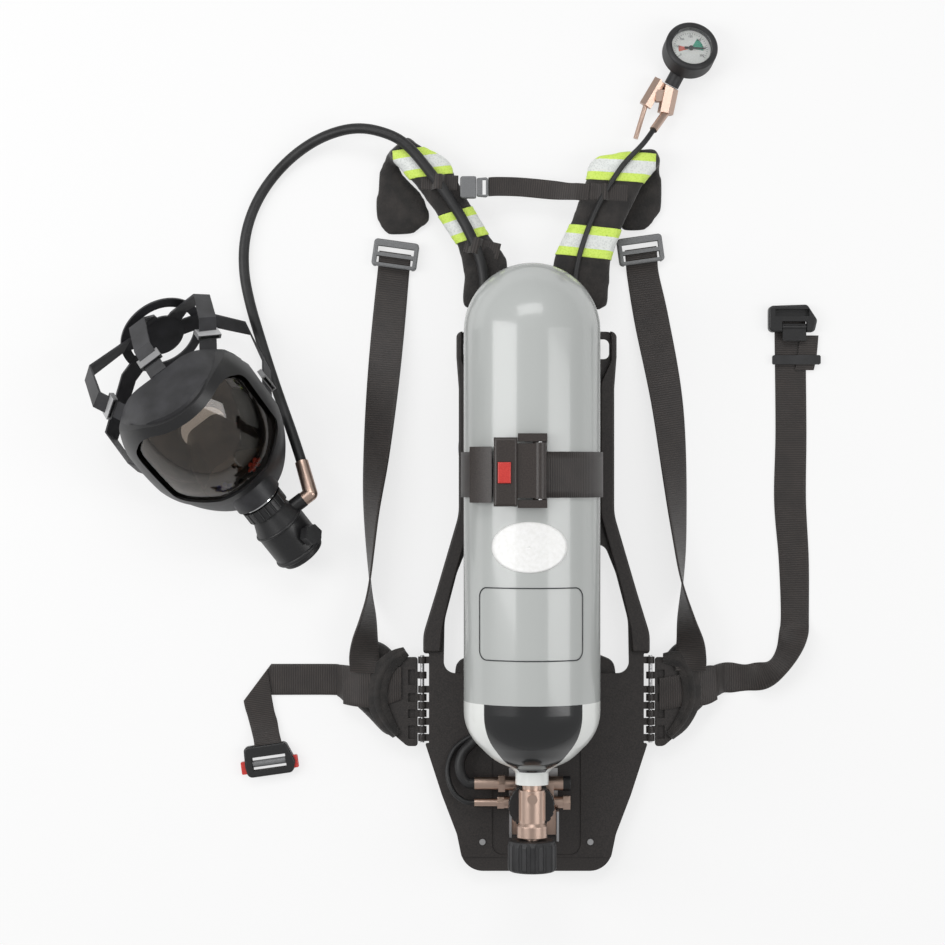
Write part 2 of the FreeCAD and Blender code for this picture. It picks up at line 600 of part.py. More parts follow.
def make_chest_strap():
    """Chest strap and its side-release buckle, lying across between the two shoulder pads."""
    pad_top = plate_top + cell("chest_pad_thickness")
    width = cell("chest_strap_width")
    thick = cell("webbing")
    on_pad = pad_top + 1.2
    strap = [(61.5, 600.5, on_pad, 18, 174, 0), (49, 601.5, on_pad, 18, 174, 0), (40, 602, pad_top - 1.5, 18, 174, 0),
             (22, 604, 27, width, 174, 0), (-10, 607, 27, width, 175, 0), (-34, 607, 33.2, width, 180, 0),
             (-44.2, 606, 37.5, width, 180, 0)]
    feature("chest_strap", ribbon(strap, thick))
    socket = prism([(-74, 617, 3), (-57, 617, 2), (-57, 594, 2), (-74, 594, 3)], pad_top + 0.3, 8.4)
    socket = soften(socket, 1.6, lambda e: e.BoundBox.ZMin > pad_top + 8.6)
    slots = [box((-70, 592, pad_top + 2.2), (-60, 596.5, pad_top + 6.8)),
             box((-70, 614.5, pad_top + 2.2), (-60, 619, pad_top + 6.8))]
    for slot in slots:
        socket = socket.cut(slot)
    plug = prism([(-56.7, 615, 2), (-44.5, 616, 3), (-44.5, 595, 3), (-56.7, 596, 2)], pad_top + 0.6, 7.6)
    plug = soften(plug, 1.2, lambda e: e.BoundBox.ZMin > pad_top + 8.1)
    plug = plug.cut(box((-50.5, 597.5, 0), (-47, 613.5, 60)))
    feature("chest_socket", socket)
    feature("chest_plug", plug)


def band_cylinder(name, radius):
    """A cylinder as wide as the tank band, about the tank's axis. Its radius is an expression of cells."""
    drum = doc.addObject("Part::Cylinder", name)
    drum.setExpression("Radius", radius)
    drum.setExpression("Height", "dims.band_width")
    drum.Placement = Placement(Vector(0, 0, 0), along_tank)
    drum.setExpression("Placement.Base.y", "dims.band_middle - dims.band_width / 2")
    drum.setExpression("Placement.Base.z", "dims.tank_axis_height")
    return drum


def make_band():
    """Band round the tank with its lever buckle: anchor plate, over-centre lever and red lock button."""
    middle = cell("band_middle")
    outer = cell("tank_radius") + cell("band_gap") + cell("band_thickness")
    crown = tank_height + outer
    ring = doc.addObject("Part::Cut", "band_ring")
    ring.Base = band_cylinder("band_outside", "dims.tank_radius + dims.band_gap + dims.band_thickness")
    ring.Tool = band_cylinder("band_inside", "dims.tank_radius + dims.band_gap")
    mouth = doc.addObject("Part::Box", "band_mouth")
    mouth.Length, mouth.Width, mouth.Height = 40, 600, 60
    mouth.Placement.Base = Vector(-41, 0, 140)
    band = doc.addObject("Part::Cut", "tank_band")
    band.Base = ring
    band.Tool = mouth
    node(band, "tank_band")

    hook_end, lever_end = middle - 28, middle + 28
    anchor = box((-64, hook_end, 130), (-42, lever_end, crown + 6))
    anchor = anchor.common(Part.makeCylinder(outer + 13.2, 200, Vector(0, 200, tank_height), Vector(0, 1, 0)))
    low, high = middle - 33, middle + 41
    pin_x, pin_z = 6, crown + 9
    arms = [box((-16, start, crown + 1), (13, start + 8, crown + 14)) for start in (low, high - 8)]
    bridge = box((-1, low, crown - 4), (13, high, crown + 4))
    blank = fused([anchor, bridge, *arms])
    blank = blank.cut(Part.makeCylinder(outer, 200, Vector(0, 200, tank_height), Vector(0, 1, 0)))
    pin_radius = cell("lever_pin_radius")
    bore = rod((pin_x, low - 1, pin_z), (pin_x, high + 1, pin_z), pin_radius + cell("running_gap"))
    room = rod((pin_x, low + 8, pin_z), (pin_x, high - 8, pin_z), 7.6)
    feature("band_anchors", blank.cut(bore).cut(room))
    round_bar("lever_pin", (pin_x, low, pin_z), (pin_x, high, pin_z), "lever_pin_radius")

    roll = rod((pin_x, low + 9, pin_z), (pin_x, high - 9, pin_z), 6.4)
    handle = box((-40, low + 1.5, crown + 7.5), (-16.5, high - 4, crown + 17.5))
    handle = soften(handle, 3, lambda e: e.BoundBox.ZMin > crown + 17.4)
    neck = box((-18, low + 10, crown + 7.5), (4, high - 10, crown + 14))
    lever = fused([handle, neck, roll])
    lever = lever.cut(rod((pin_x, low - 9, pin_z), (pin_x, high + 9, pin_z), pin_radius))
    feature("band_lever", lever.cut(box((-36.3, 295.2, crown + 9.6), (-22.7, 316.8, crown + 60))))
    button = box((-36, 295.5, crown + 12.9), (-23, 316.5, crown + 19.6))
    feature("band_lock_button", soften(button, 1.2, lambda e: e.BoundBox.ZMin > crown + 19.5))


def make_reducer():
    """Pressure reducer under the valve: body, its hand nut, the relief valve and the steel bracket that holds it."""
    ports = cell("port_height")
    wheel_y = -38
    parts = [
        rod((0, wheel_y, 26), (0, wheel_y, 60), 17),
        rod((0, wheel_y, 59), (0, wheel_y, 73.2), 9.9),
        rod((-27, -20, ports), (34, -20, ports), 7.5),
        rod((-28, -40, ports), (34, -40, ports), 6.5),
        box((-18, -44, ports - 9), (24, -18, ports + 9)),
        box((-19.7, -72, 28), (26.2, -46, 50)),
    ]
    body = fused(parts)
    feature("reducer_body", body)
    wheel = rod((0, wheel_y, 62), (0, wheel_y, 82), cell("reducer_wheel_radius"))
    wheel = soften(wheel, 1.5, lambda e: True)
    for turn in range(24):
        angle = math.radians(15 * turn)
        reach = cell("reducer_wheel_radius") + 0.6
        x, y = reach * math.cos(angle), wheel_y + reach * math.sin(angle)
        wheel = wheel.cut(rod((x, y, 60), (x, y, 84), 1.7))
    feature("reducer_handwheel", wheel.cut(rod((0, wheel_y, 50), (0, wheel_y, 90), 10.1)))
    cap = rod((34, -20, ports), (42, -20, ports), 7.8)
    feature("relief_valve", soften(cap, 1.0, lambda e: e.BoundBox.XMin > 41.9))
    bottom = plate_top - 1.6
    bracket = [box((-22.5, -76, bottom), (29, -6, bottom + 1.6)), box((-22.5, -74, bottom), (-20.2, -47, 58)),
               box((26.7, -78, bottom), (29, -47, 58))]
    bracket = fused(bracket)
    for side in (-1, 1):
        bracket = bracket.cut(rod((side * 23, 3, 0), (side * 23, 3, 60), 2.5))
    feature("reducer_bracket", bracket)


def hexagon(start, end, across):
    """A hexagonal bar between two points, by its size across the flats."""
    start = Vector(start)
    along = Vector(end) - start
    radius = across / math.sqrt(3)
    corners = [Vector(radius * math.cos(math.radians(60 * i)), radius * math.sin(math.radians(60 * i)), 0)
               for i in range(7)]
    bar = Part.Face(Part.makePolygon(corners)).extrude(Vector(0, 0, along.Length))
    bar.Placement = Placement(start, Rotation(Vector(0, 0, 1), along))
    return bar


# The supply hose leaves the reducer at the left, passes under the tank and lies on the left shoulder pad.
CLIPPED_ROUTE = [(-59, -20, 38), (-66, -20, 38), (-73, -12, 38), (-75, 0, 37.5), (-71, 13, 36.5), (-61, 22, 35),
                 (-50, 34, 34), (-47, 60, 33), (-48, 110, 27.5), (-48.5, 260, 27), (-48, 425, 27.5), (-50, 470, 40),
                 (-48, 520, 40), (-68, 567, 40), (-92, 604, 40), (-114, 632, 40)]
# From the pad it lies free: it drops to the floor, runs along it and rises to the demand valve's elbow.
FREE_ROUTE = [(-114, 632, 40), (-126.1, 647.4, 40), (-146, 661, 39.6), (-180, 670, 33.5), (-215, 663.5, 22),
              (-247, 646, 12.5), (-274, 620, 7.2), (-293, 590, 5.8), (-303.5, 556, 5.8), (-304.5, 520, 5.8),
              (-297.5, 485, 5.8), (-287, 450, 5.8), (-276, 415, 6.6), (-263, 378, 11.5), (-250, 344, 21.5),
              (-241, 318, 32)]
# The gauge line leaves at the left, crosses under the tank and reaches the gauge over the right shoulder pad.
GAUGE_ROUTE = [(-59, -40, 38), (-68, -40, 38), (-79, -33, 37), (-86, -20, 34), (-88, -4, 29), (-82, 14, 24.4),
               (-67, 26, 24.1), (-37, 38.5, 24.1), (-15, 46, 22.4), (15, 56, 22.4), (34, 70, 24.1), (45, 96, 24.2),
               (47, 260, 24.3), (47, 425, 24.2), (47, 468, 37.4), (46, 515, 37.4), (58, 558, 37.4), (76, 598, 37.4),
               (98, 631, 38.4), (118.3, 650.9, 38.6), (129.5, 667, 28.6)]


def make_fittings():
    """Nuts and ferrules where hoses meet the reducer, the demand valve and the gauge."""
    ports = cell("port_height")
    return [
        fused([hexagon((-27, -20, ports), (-34, -20, ports), 17), rod((-34, -20, ports), (-59, -20, ports), 6.8)]),
        fused([hexagon((-28, -40, ports), (-35, -40, ports), 12), rod((-35, -40, ports), (-59, -40, ports), 4.2)]),
        hexagon((34, -40, ports), (41.5, -40, ports), 14),
    ]


def make_gauge():
    """Pressure gauge in a rubber boot, with its dial, lens and pointer, and the whistle block beside it."""
    tilt = math.radians(cell("gauge_tilt"))
    normal = Vector(0.4 * math.sin(tilt), 0.917 * math.sin(tilt), math.cos(tilt))
    place = Placement(Vector(168.4, 751.4, 23), Rotation(Vector(0, 0, 1), normal))
    radius = cell("gauge_radius")
    half = cell("gauge_thickness") / 2
    face = cell("gauge_face_radius")
    profile = [(0, -half), (radius, -half, 4), (radius, half, 4), (face + 1, half, 1), (face + 1, 3), (face - 2, 3),
               (face - 2, -1), (0, -1)]
    stem_end = place.inverse().multVec(Vector(149.5, 716, 13.5))
    stem = rod((0, 0, -4), stem_end, 8).cut(rod((0, 0, -1), (0, 0, 30), radius - 3))
    boot = Part.Face(Part.Wire([e.toShape() for e in outline_edges(profile)]))
    boot.rotate(Vector(0, 0, 0), Vector(1, 0, 0), 90)
    boot = boot.revolve(Vector(0, 0, 0), Vector(0, 0, 1), 360).fuse(stem).removeSplitter()
    boot.Placement = place
    feature("gauge_boot", boot)
    dial = rod((0, 0, 3), (0, 0, 4.4), face + 0.7).cut(rod((0, 0, 0), (0, 0, 9), 1.05))
    lens = rod((0, 0, half - 3.4), (0, 0, half - 1.6), face + 1)
    needle = prism([(-7, 1.3), (-7, -1.3), (14, -0.6), (16, 0), (14, 0.6)], 5.2, 0.8)
    pointer = fused([needle, rod((0, 0, 4.9), (0, 0, 6.4), 2.6), rod((0, 0, 1.2), (0, 0, 6), 1.0)])
    for name, shape in (("gauge_dial", dial), ("gauge_lens", lens), ("gauge_pointer", pointer)):
        shape.Placement = place
        feature(name, shape)
    end = Vector(149.5, 716, 13.5)
    block = fused([hexagon(end, (143, 686, 15), 15), hexagon((138, 722, 12), (122, 695, 12), 13),
                   box((133, 699, 7), (149, 711, 18)), rod((122.6, 696, 12), (111.8, 660, 12), 2.5)])
    swivel = (end - place.Base).normalize()
    block = block.cut(rod(end - swivel * 20, end + swivel * 0.8, 12))
    feature("whistle_block", block)
    return rod((144, 687.8, 15.7), (129.5, 667, 28.6), 4.2).cut(block)


MASK = Matrix(-0.80, 0.446, -0.401, -338, -0.60, -0.594, 0.535, 352, 0, 0.669, 0.743, 78, 0, 0, 0, 1)
mask_place = Placement(MASK)
PORT_SEAT = Vector(0, 44, -62)
PORT_AXIS = Vector(0, 0.45, -0.893)
FACE_OUTLINE = [(40, 86, 40), (74, 52, 40), (74, -40, 50), (34, -92, 36)]
VISOR_OUTLINE = [(52, 76, 30), (71, 50, 30), (68, -22, 18), (30, -40, 16)]
CUP_OUTLINE = [(16, 2, 14), (40, -30, 22), (36, -74, 22)]


def front_prism(right, near, far, inset=0.0):
    """A prism along the mask's forward axis, from the right half of its outline, drawn in by an inset."""
    low = wire(both_sides(right))
    if inset:
        low = low.makeOffset2D(-inset)
    low.translate(Vector(0, 0, -far))
    solid = Part.Face(low).extrude(Vector(0, 0, far - near))
    solid.rotate(Vector(0, 0, 0), Vector(1, 0, 0), 90)
    return solid


def bulge(offset):
    """The barrel whose front the visor and the face piece follow, made larger by an offset."""
    end = 112.0
    radius = cell("visor_radius") + offset
    arc_radius = cell("visor_bulge_radius") + offset
    reach = math.sqrt(arc_radius ** 2 - end ** 2) + radius - arc_radius
    arc = Part.Arc(Vector(reach, 0, end), Vector(radius, 0, 0), Vector(reach, 0, -end)).toShape()
    sides = Part.makePolygon([Vector(reach, 0, -end), Vector(0, 0, -end), Vector(0, 0, end), Vector(reach, 0, end)])
    face = Part.Face(Part.Wire([arc, *sides.Edges]))
    solid = face.revolve(Vector(0, 0, 0), Vector(0, 0, 1), 360)
    solid.translate(Vector(0, -8, 0))
    return solid


def put(name, shape):
    """A sub-part drawn in the mask's own frame."""
    shape = shape.copy()
    shape.transformShape(MASK, True)
    return feature(name, shape)


def port_rod(near, far, radius, end_radius=None):
    """A cylinder or cone along the port's axis, between two distances from its seat."""
    return rod(PORT_SEAT + PORT_AXIS * near, PORT_SEAT + PORT_AXIS * far, radius, end_radius)


def make_mask():
    """Full face mask: rubber face piece, wide visor in its frame, inner cup, port ring and head harness."""
    port = cell("port_radius")
    outer = front_prism(FACE_OUTLINE, -14, 120).common(bulge(0))
    hollow = front_prism(FACE_OUTLINE, -20, 120, 3.5).common(bulge(-3.5))
    boss = port_rod(-4, 17, port + 5)
    clear = port_rod(-40, 60, port + 0.1)
    window = front_prism(VISOR_OUTLINE, 0, 120)
    lip = front_prism(FACE_OUTLINE, -14, -11.5, 1).cut(front_prism(FACE_OUTLINE, -30, 10, 15))
    seal = outer.cut(hollow).fuse(boss.cut(hollow)).fuse(lip)
    seal = seal.cut(clear).cut(window).cut(port_rod(20.4, 60, cell("collar_radius") + 0.8)).removeSplitter()
    put("mask_seal", seal)
    thick = cell("visor_thickness")
    put("visor", window.common(bulge(0)).cut(bulge(-thick)))
    ring = front_prism(VISOR_OUTLINE, 0, 120, -7).cut(front_prism(VISOR_OUTLINE, -5, 130, 2.5))
    frame = ring.common(bulge(3.4)).cut(bulge(0)).cut(port_rod(-40, 60, port + 5.05))
    put("visor_frame", frame)
    cup = front_prism(CUP_OUTLINE, -8, 120).common(bulge(-12))
    cup = cup.cut(front_prism(CUP_OUTLINE, -20, 120, 2.2).common(bulge(-14.2)))
    valves = []
    for side in (-1, 1):
        here = Vector(side * 19, 20, -33)
        valves.append(rod(here, here + Vector(0, 60, 0), 9))
        cup = cup.cut(valves[-1])
    cup = cup.cut(port_rod(-40, 60, port + 0.3))
    put("inner_mask", cup)
    seats = [valve.common(bulge(-10.5)).cut(bulge(-14.2)) for valve in valves]
    put("check_valves", Part.makeCompound(seats))
    sleeve = port_rod(-9, 20, port).cut(port_rod(-12, 22, port - 3))
    put("mask_port", sleeve)
    make_harness()


# Where the head harness lies in the mask's frame: the middle of its pad, and each strap from the face piece out and
# back to the pad, as points with the direction across the strap in degrees.
HARNESS_MIDDLE = Vector(-20, -110, 41)
HARNESS_STRAPS = [
    [(0, -15.5, 84, 0), (-2, -45, 99, 0), (-10, -86, 94, 0), (-18, -108, 70, 0), (-19, -110, 54, 0)],
    [(52, -15.5, 66, 40), (68, -45, 80, 38), (62, -86, 80, 42), (14, -108, 60, 30), (-4, -110, 50, 30)],
    [(-52, -15.5, 66, -40), (-72, -45, 78, -42), (-80, -86, 72, -48), (-50, -108, 54, -35), (-34, -110, 46, -35)],
    [(69, -15.5, -34, 90), (88, -45, -26, 95), (88, -80, -4, 100), (36, -106, 24, 110), (2, -110, 34, 110)],
    [(-69, -15.5, -34, -90), (-88, -45, -24, -95), (-96, -80, 2, -100), (-66, -106, 26, -110), (-38, -110, 34, -110)],
]
HARNESS_RING = (36, 46)
HARNESS_STRAP_WIDTH = 19
STRAP_LEANS = [0.0, 0.1, 0.8, 1.4, 1.57]


def strap_section(x, y, z, angle, lean, width):
    """A rectangle across a harness strap. Its flat side leans from facing outwards to facing back."""
    thick = cell("harness_thickness")
    turn = math.radians(angle)
    across = Vector(-math.cos(turn), 0, math.sin(turn)) * (width / 2)
    outwards = Vector(math.sin(turn), 0, math.cos(turn))
    flat = (outwards * math.cos(lean) + Vector(0, -1, 0) * math.sin(lean)) * (thick / 2)
    middle = Vector(x, y, z)
    corners = [middle + across + flat, middle - across + flat, middle - across - flat, middle + across - flat]
    return Part.makePolygon(corners + corners[:1])


def make_harness():
    """Head harness: five rubber straps from the face piece to a ringed back pad, each with its metal buckle."""
    thick = cell("harness_thickness")
    back = Vector(0, thick, 0)
    pad = rod(HARNESS_MIDDLE, HARNESS_MIDDLE + back, 24)
    inner, outer = HARNESS_RING
    ring = rod(HARNESS_MIDDLE, HARNESS_MIDDLE + back, outer)
    ring = ring.cut(rod(HARNESS_MIDDLE, HARNESS_MIDDLE + back, inner))
    pieces = [pad, ring]
    buckles = []
    for strap in HARNESS_STRAPS:
        sections = [strap_section(*point, lean, HARNESS_STRAP_WIDTH) for point, lean in zip(strap, STRAP_LEANS)]
        pieces.append(Part.makeLoft(sections, True, True))
        start, second = Vector(*strap[0][:3]), Vector(*strap[1][:3])
        clip = box((-12.5, -6, -2.6), (12.5, 6, 2.6)).cut(box((-10.4, -8, -1.5), (10.4, 8, 1.5)))
        clip.Placement = Placement(start + (second - start) * 0.55, Rotation(Vector(0, 1, 0), strap[0][3]))
        buckles.append(clip)
    harness = fused(pieces)
    put("head_harness", harness)
    put("harness_buckles", Part.makeCompound([buckle.cut(harness) for buckle in buckles]))


def make_demand_valve(fittings):
    """Demand valve on the mask's port: collar nut, body, sprung rubber cover, bypass knob and hose elbow."""
    port = cell("port_radius")
    radius = cell("demand_radius")
    collar = port_rod(21, 34, cell("collar_radius")).cut(port_rod(10, 50, port - 2.4))
    for turn in range(20):
        across = Rotation(PORT_AXIS, 18 * turn).multVec(Vector(1, 0, 0))
        start = PORT_SEAT + PORT_AXIS * 15 + across * (cell("collar_radius") + 0.4)
        collar = collar.cut(rod(start, start + PORT_AXIS * 30, 1.5))
    put("port_collar", collar)
    spigot = port_rod(-2, 36, port - 3.1).cut(port_rod(-6, 33, port - 7))
    shell = port_rod(34.6, 52, 20, radius).fuse(port_rod(52, 92, radius))
    side = Vector(-1, 0, 0)
    inlet = PORT_SEAT + PORT_AXIS * 48
    knob_axis = Rotation(PORT_AXIS, -35).multVec(PORT_AXIS.cross(side).normalize())
    knob_start = PORT_SEAT + PORT_AXIS * 74 + knob_axis * (radius - 3)
    shell = fused([spigot, shell, rod(inlet + side * 10, inlet + side * 36, 8),
                   rod(knob_start - knob_axis, knob_start + knob_axis * 7, 6.5)])
    put("demand_valve", shell.cut(port_rod(82, 110, radius - 3)))
    cover = port_rod(86, 98, radius - 3.1)
    front = PORT_SEAT + PORT_AXIS * 97
    put("demand_cover", soften(cover, 2.5, lambda e: e.Closed and (e.CenterOfMass - front).dot(PORT_AXIS) > 0))
    put("bypass_knob", hexagon(knob_start + knob_axis * 7.2, knob_start + knob_axis * 18, 19))
    elbow_start = mask_place.multVec(inlet + side * 36.1)
    out = (mask_place.multVec(inlet + side * 50) - elbow_start).normalize()
    corner = elbow_start + out * 9
    last = Vector(*FREE_ROUTE[-1])
    last = last - (last - corner).normalize() * 0.8
    joint = rod(elbow_start, corner, 7.5).fuse(Part.makeSphere(7.5, corner)).fuse(rod(corner, last, 7.5, 7))
    fittings.append(joint.removeSplitter())


def main():
    """Builds every sub-part and writes each as a STEP file."""
    make_tank()
    make_valve()
    make_handwheel()
    make_back_plate()
    make_back_pads()
    make_plate_hardware()
    for name, side in (("left", -1), ("right", 1)):
        make_hip_wing("hip_wing_" + name, side)
        make_hip_pad("hip_pad_" + name, side)
    make_belts()
    make_waist_buckle()
    make_belt_end()
    fold_left = [(-151, 645, 4), (-128, 664, 4), (-119, 653, 2), (-142, 633, 2)]
    fold_right = [(119, 650, 2), (132, 650, 4), (141, 633, 4), (128, 628, 2)]
    left_adjuster = Placement(Vector(-143, 537, 0), Rotation(Vector(0, 0, 1), -8))
    right_adjuster = Placement(Vector(117.5, 542, 0), Rotation(Vector(0, 0, 1), 8))
    pads = [make_shoulder_pad("shoulder_pad_left", PAD_LEFT, LEAF_LEFT, -38, -20, fold_left, left_adjuster),
            make_shoulder_pad("shoulder_pad_right", PAD_RIGHT, LEAF_RIGHT, 27, 45, fold_right, right_adjuster)]
    bands = make_bands(pads)
    hose_radius = cell("hose_radius")
    line_radius = cell("gauge_line_radius")
    hoses = [hose("air_hose_clipped", CLIPPED_ROUTE, "hose_radius"),
             hose("gauge_hose", GAUGE_ROUTE, "gauge_line_radius")]
    hose("air_hose_free", FREE_ROUTE, "hose_radius")
    doc.recompute()
    loops = [
        ([(-117, 620), (-78, 619), (-74, 603), (-111, 600)], (-82, 591.3, 40), (-112, 629.5, 40), hose_radius),
        ([(-72, 549), (-36, 556), (-30, 539), (-66, 530)], (-51, 528, 40), (-64, 558, 40), hose_radius),
        ([(64, 612), (101, 609), (103, 589), (62, 592)], (70, 585, 37.4), (86, 620, 37.4), line_radius),
    ]
    make_loops(pads, bands, loops, [thing.Shape for thing in hoses])
    make_adjuster("strap_adjuster_left", left_adjuster)
    make_adjuster("strap_adjuster_right", right_adjuster)
    make_chest_strap()
    make_band()
    make_reducer()
    fittings = make_fittings()
    fittings.append(make_gauge())
    make_mask()
    make_demand_valve(fittings)
    feature("hose_fittings", Part.makeCompound(fittings))
    doc.recompute()
    os.makedirs("parts", exist_ok=True)
    for thing in doc.Objects:
        if "Invalid" in thing.State or "Error" in thing.State:
            raise RuntimeError(f"{thing.Name} did not build")
    for thing in nodes:
        shape = thing.Shape
        if not shape.isValid() or not shape.Solids:
            raise RuntimeError(f"{thing.Label} has no valid solid")
        shape.exportStep(f"parts/{thing.Label}.step")
        print(f"{thing.Label}: {len(shape.Solids)} solid(s), volume {shape.Volume:.0f} mm3")
    print(len(nodes), "sub-parts")


main()
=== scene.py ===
# %% [markdown]
# # Air pack, laid flat
# A breathing-air pack seen from straight above: a steel tank on a moulded back plate, two shoulder straps,
# a waist belt with hinged wings, a pressure reducer, a gauge, a supply hose and a full face mask. Hard
# pieces come in with the frame and get their finishes here. Everything of cloth, webbing and foam, the free
# hose and the small details are modelled in this file.

# %% Start from the frame
import math

import bmesh
import bpy
from mathutils import Matrix, Vector, noise


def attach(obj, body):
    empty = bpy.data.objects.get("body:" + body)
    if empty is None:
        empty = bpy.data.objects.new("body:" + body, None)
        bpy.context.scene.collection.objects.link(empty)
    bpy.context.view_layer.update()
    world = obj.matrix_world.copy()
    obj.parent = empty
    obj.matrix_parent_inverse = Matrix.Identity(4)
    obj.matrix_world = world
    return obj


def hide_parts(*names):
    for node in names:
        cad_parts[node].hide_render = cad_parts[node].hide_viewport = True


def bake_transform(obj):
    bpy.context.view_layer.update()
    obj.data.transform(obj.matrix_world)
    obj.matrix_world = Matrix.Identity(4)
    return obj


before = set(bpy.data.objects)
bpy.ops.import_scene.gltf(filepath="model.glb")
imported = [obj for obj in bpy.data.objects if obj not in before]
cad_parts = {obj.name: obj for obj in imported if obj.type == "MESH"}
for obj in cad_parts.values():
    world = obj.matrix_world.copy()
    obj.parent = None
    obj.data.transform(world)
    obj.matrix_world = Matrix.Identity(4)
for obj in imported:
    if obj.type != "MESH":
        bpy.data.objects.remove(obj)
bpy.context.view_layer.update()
scene = bpy.context.scene
MM = 0.001

# %% [markdown]
# ## Camera, floor and light
# The picture is taken from straight overhead, so the camera looks down at the floor and the top of the
# picture is +Y. A long lens flattens the view. The floor is a white sweep that shows nearly white to the
# camera and still keeps the soft shadow under the pack. Two wide lamps at the sides and one overhead give
# the long soft glints along the tank.

# %% Camera
PICTURE_CENTRE = Vector((-0.061, 0.3062, 0.0))
CAMERA_HEIGHT = 2.6
camera_data = bpy.data.cameras.new("overhead")
camera_data.lens = 93.0
camera_data.sensor_width = 36.0
camera = bpy.data.objects.new("overhead", camera_data)
camera.location = PICTURE_CENTRE + Vector((0, 0, CAMERA_HEIGHT))
scene.collection.objects.link(camera)
scene.camera = camera
scene.view_settings.view_transform = "Standard"
print("camera", tuple(round(v, 3) for v in camera.location))


# %% Colours and nodes
def linear(hex_colour):
    """An sRGB hex colour as linear red, green, blue and alpha."""
    values = [int(hex_colour[i:i + 2], 16) / 255 for i in (1, 3, 5)]
    return (*[v / 12.92 if v <= 0.04045 else ((v + 0.055) / 1.055) ** 2.4 for v in values], 1.0)


def add(tree, kind, inputs=None, **settings):
    """Adds a node. A value in inputs is set on the socket, and an output of another node is linked to it."""
    made = tree.nodes.new(kind)
    for name, value in settings.items():
        setattr(made, name, value)
    for name, value in (inputs or {}).items():
        if isinstance(value, bpy.types.NodeSocket):
            tree.links.new(value, made.inputs[name])
        else:
            made.inputs[name].default_value = value
    return made


def start_material(name):
    """An empty node material and its output node."""
    material = bpy.data.materials.new(name)
    material.use_nodes = True
    tree = material.node_tree
    tree.nodes.clear()
    return material, tree, tree.nodes.new("ShaderNodeOutputMaterial")


# %% Floor and world
def make_floor():
    """A wide white floor that the camera sees as nearly white, with the shadow kept."""
    shape = bmesh.new()
    bmesh.ops.create_grid(shape, x_segments=1, y_segments=1, size=4.0)
    mesh = bpy.data.meshes.new("floor")
    shape.to_mesh(mesh)
    shape.free()
    floor = bpy.data.objects.new("floor", mesh)
    scene.collection.objects.link(floor)
    material, tree, output = start_material("white sweep")
    path = add(tree, "ShaderNodeLightPath")
    paint = add(tree, "ShaderNodeBsdfDiffuse", {"Color": linear("#f4f4f4")})
    glow = add(tree, "ShaderNodeEmission", {"Color": (1, 1, 1, 1), "Strength": 1.0})
    seen = add(tree, "ShaderNodeMath", {0: path.outputs["Is Camera Ray"], 1: 0.72}, operation="MULTIPLY")
    mixed = add(tree, "ShaderNodeMixShader", {"Fac": seen.outputs[0], 1: paint.outputs[0], 2: glow.outputs[0]})
    tree.links.new(mixed.outputs[0], output.inputs["Surface"])
    mesh.materials.append(material)
    return floor


def make_world():
    """Even white surroundings: full white to the camera and through clear parts, softer as a light."""
    world = bpy.data.worlds.new("white room")
    world.use_nodes = True
    tree = world.node_tree
    tree.nodes.clear()
    path = add(tree, "ShaderNodeLightPath")
    shown = add(tree, "ShaderNodeMath", {0: path.outputs["Is Camera Ray"],
                                         1: path.outputs["Is Transmission Ray"]}, operation="MAXIMUM")
    level = add(tree, "ShaderNodeMapRange", {"Value": shown.outputs[0], "To Min": 0.42, "To Max": 1.0})
    back = add(tree, "ShaderNodeBackground", {"Color": (1, 1, 1, 1), "Strength": level.outputs[0]})
    output = add(tree, "ShaderNodeOutputWorld", {"Surface": back.outputs[0]})
    scene.world = world
    return output


def make_lamp(name, place, aim, size, power):
    """A rectangular softbox at a place, aimed at a point."""
    data = bpy.data.lights.new(name, "AREA")
    data.shape = "RECTANGLE"
    data.size, data.size_y = size
    data.energy = power
    lamp = bpy.data.objects.new(name, data)
    lamp.location = place
    lamp.rotation_euler = (Vector(aim) - Vector(place)).to_track_quat("-Z", "Y").to_euler()
    scene.collection.objects.link(lamp)
    return lamp


make_floor()
make_world()
make_lamp("left softbox", (-1.7, 0.5, 1.6), (0, 0.3, 0.05), (0.9, 1.8), 22)
make_lamp("right softbox", (1.6, 0.2, 1.7), (0, 0.3, 0.05), (0.7, 1.6), 12)
make_lamp("top softbox", (-0.2, 1.9, 2.2), (0, 0.3, 0.05), (1.8, 0.8), 16)
print("floor, world and three lamps")

# %% [markdown]
# ## Shared finishes
# Every finish starts from what the real surface is made of. Each reads Object coordinates in metres, so a
# texture scale is one over the size of the grain.


# %% Material starter
def surface(name, colour, roughness, metallic=0.0, ior=1.5):
    """A principled material and an object-space coordinate. Returns material, tree, shader and coordinate."""
    material, tree, output = start_material(name)
    shader = add(tree, "ShaderNodeBsdfPrincipled", {"Base Color": linear(colour), "Roughness": roughness,
                                                    "Metallic": metallic})
    if metallic == 0.0:
        shader.inputs["IOR"].default_value = ior
    tree.links.new(shader.outputs[0], output.inputs["Surface"])
    place = add(tree, "ShaderNodeTexCoord")
    return material, tree, shader, place.outputs["Object"]


def grain(tree, shader, vector, size, depth, detail=2.0):
    """A fine bump of a grain size in metres. Returns the noise, for use in the colour too."""
    speckle = add(tree, "ShaderNodeTexNoise", {"Vector": vector, "Scale": 1.0 / size, "Detail": detail})
    bump = add(tree, "ShaderNodeBump", {"Height": speckle.outputs["Fac"], "Strength": 0.6, "Distance": depth})
    tree.links.new(bump.outputs[0], shader.inputs["Normal"])
    return speckle


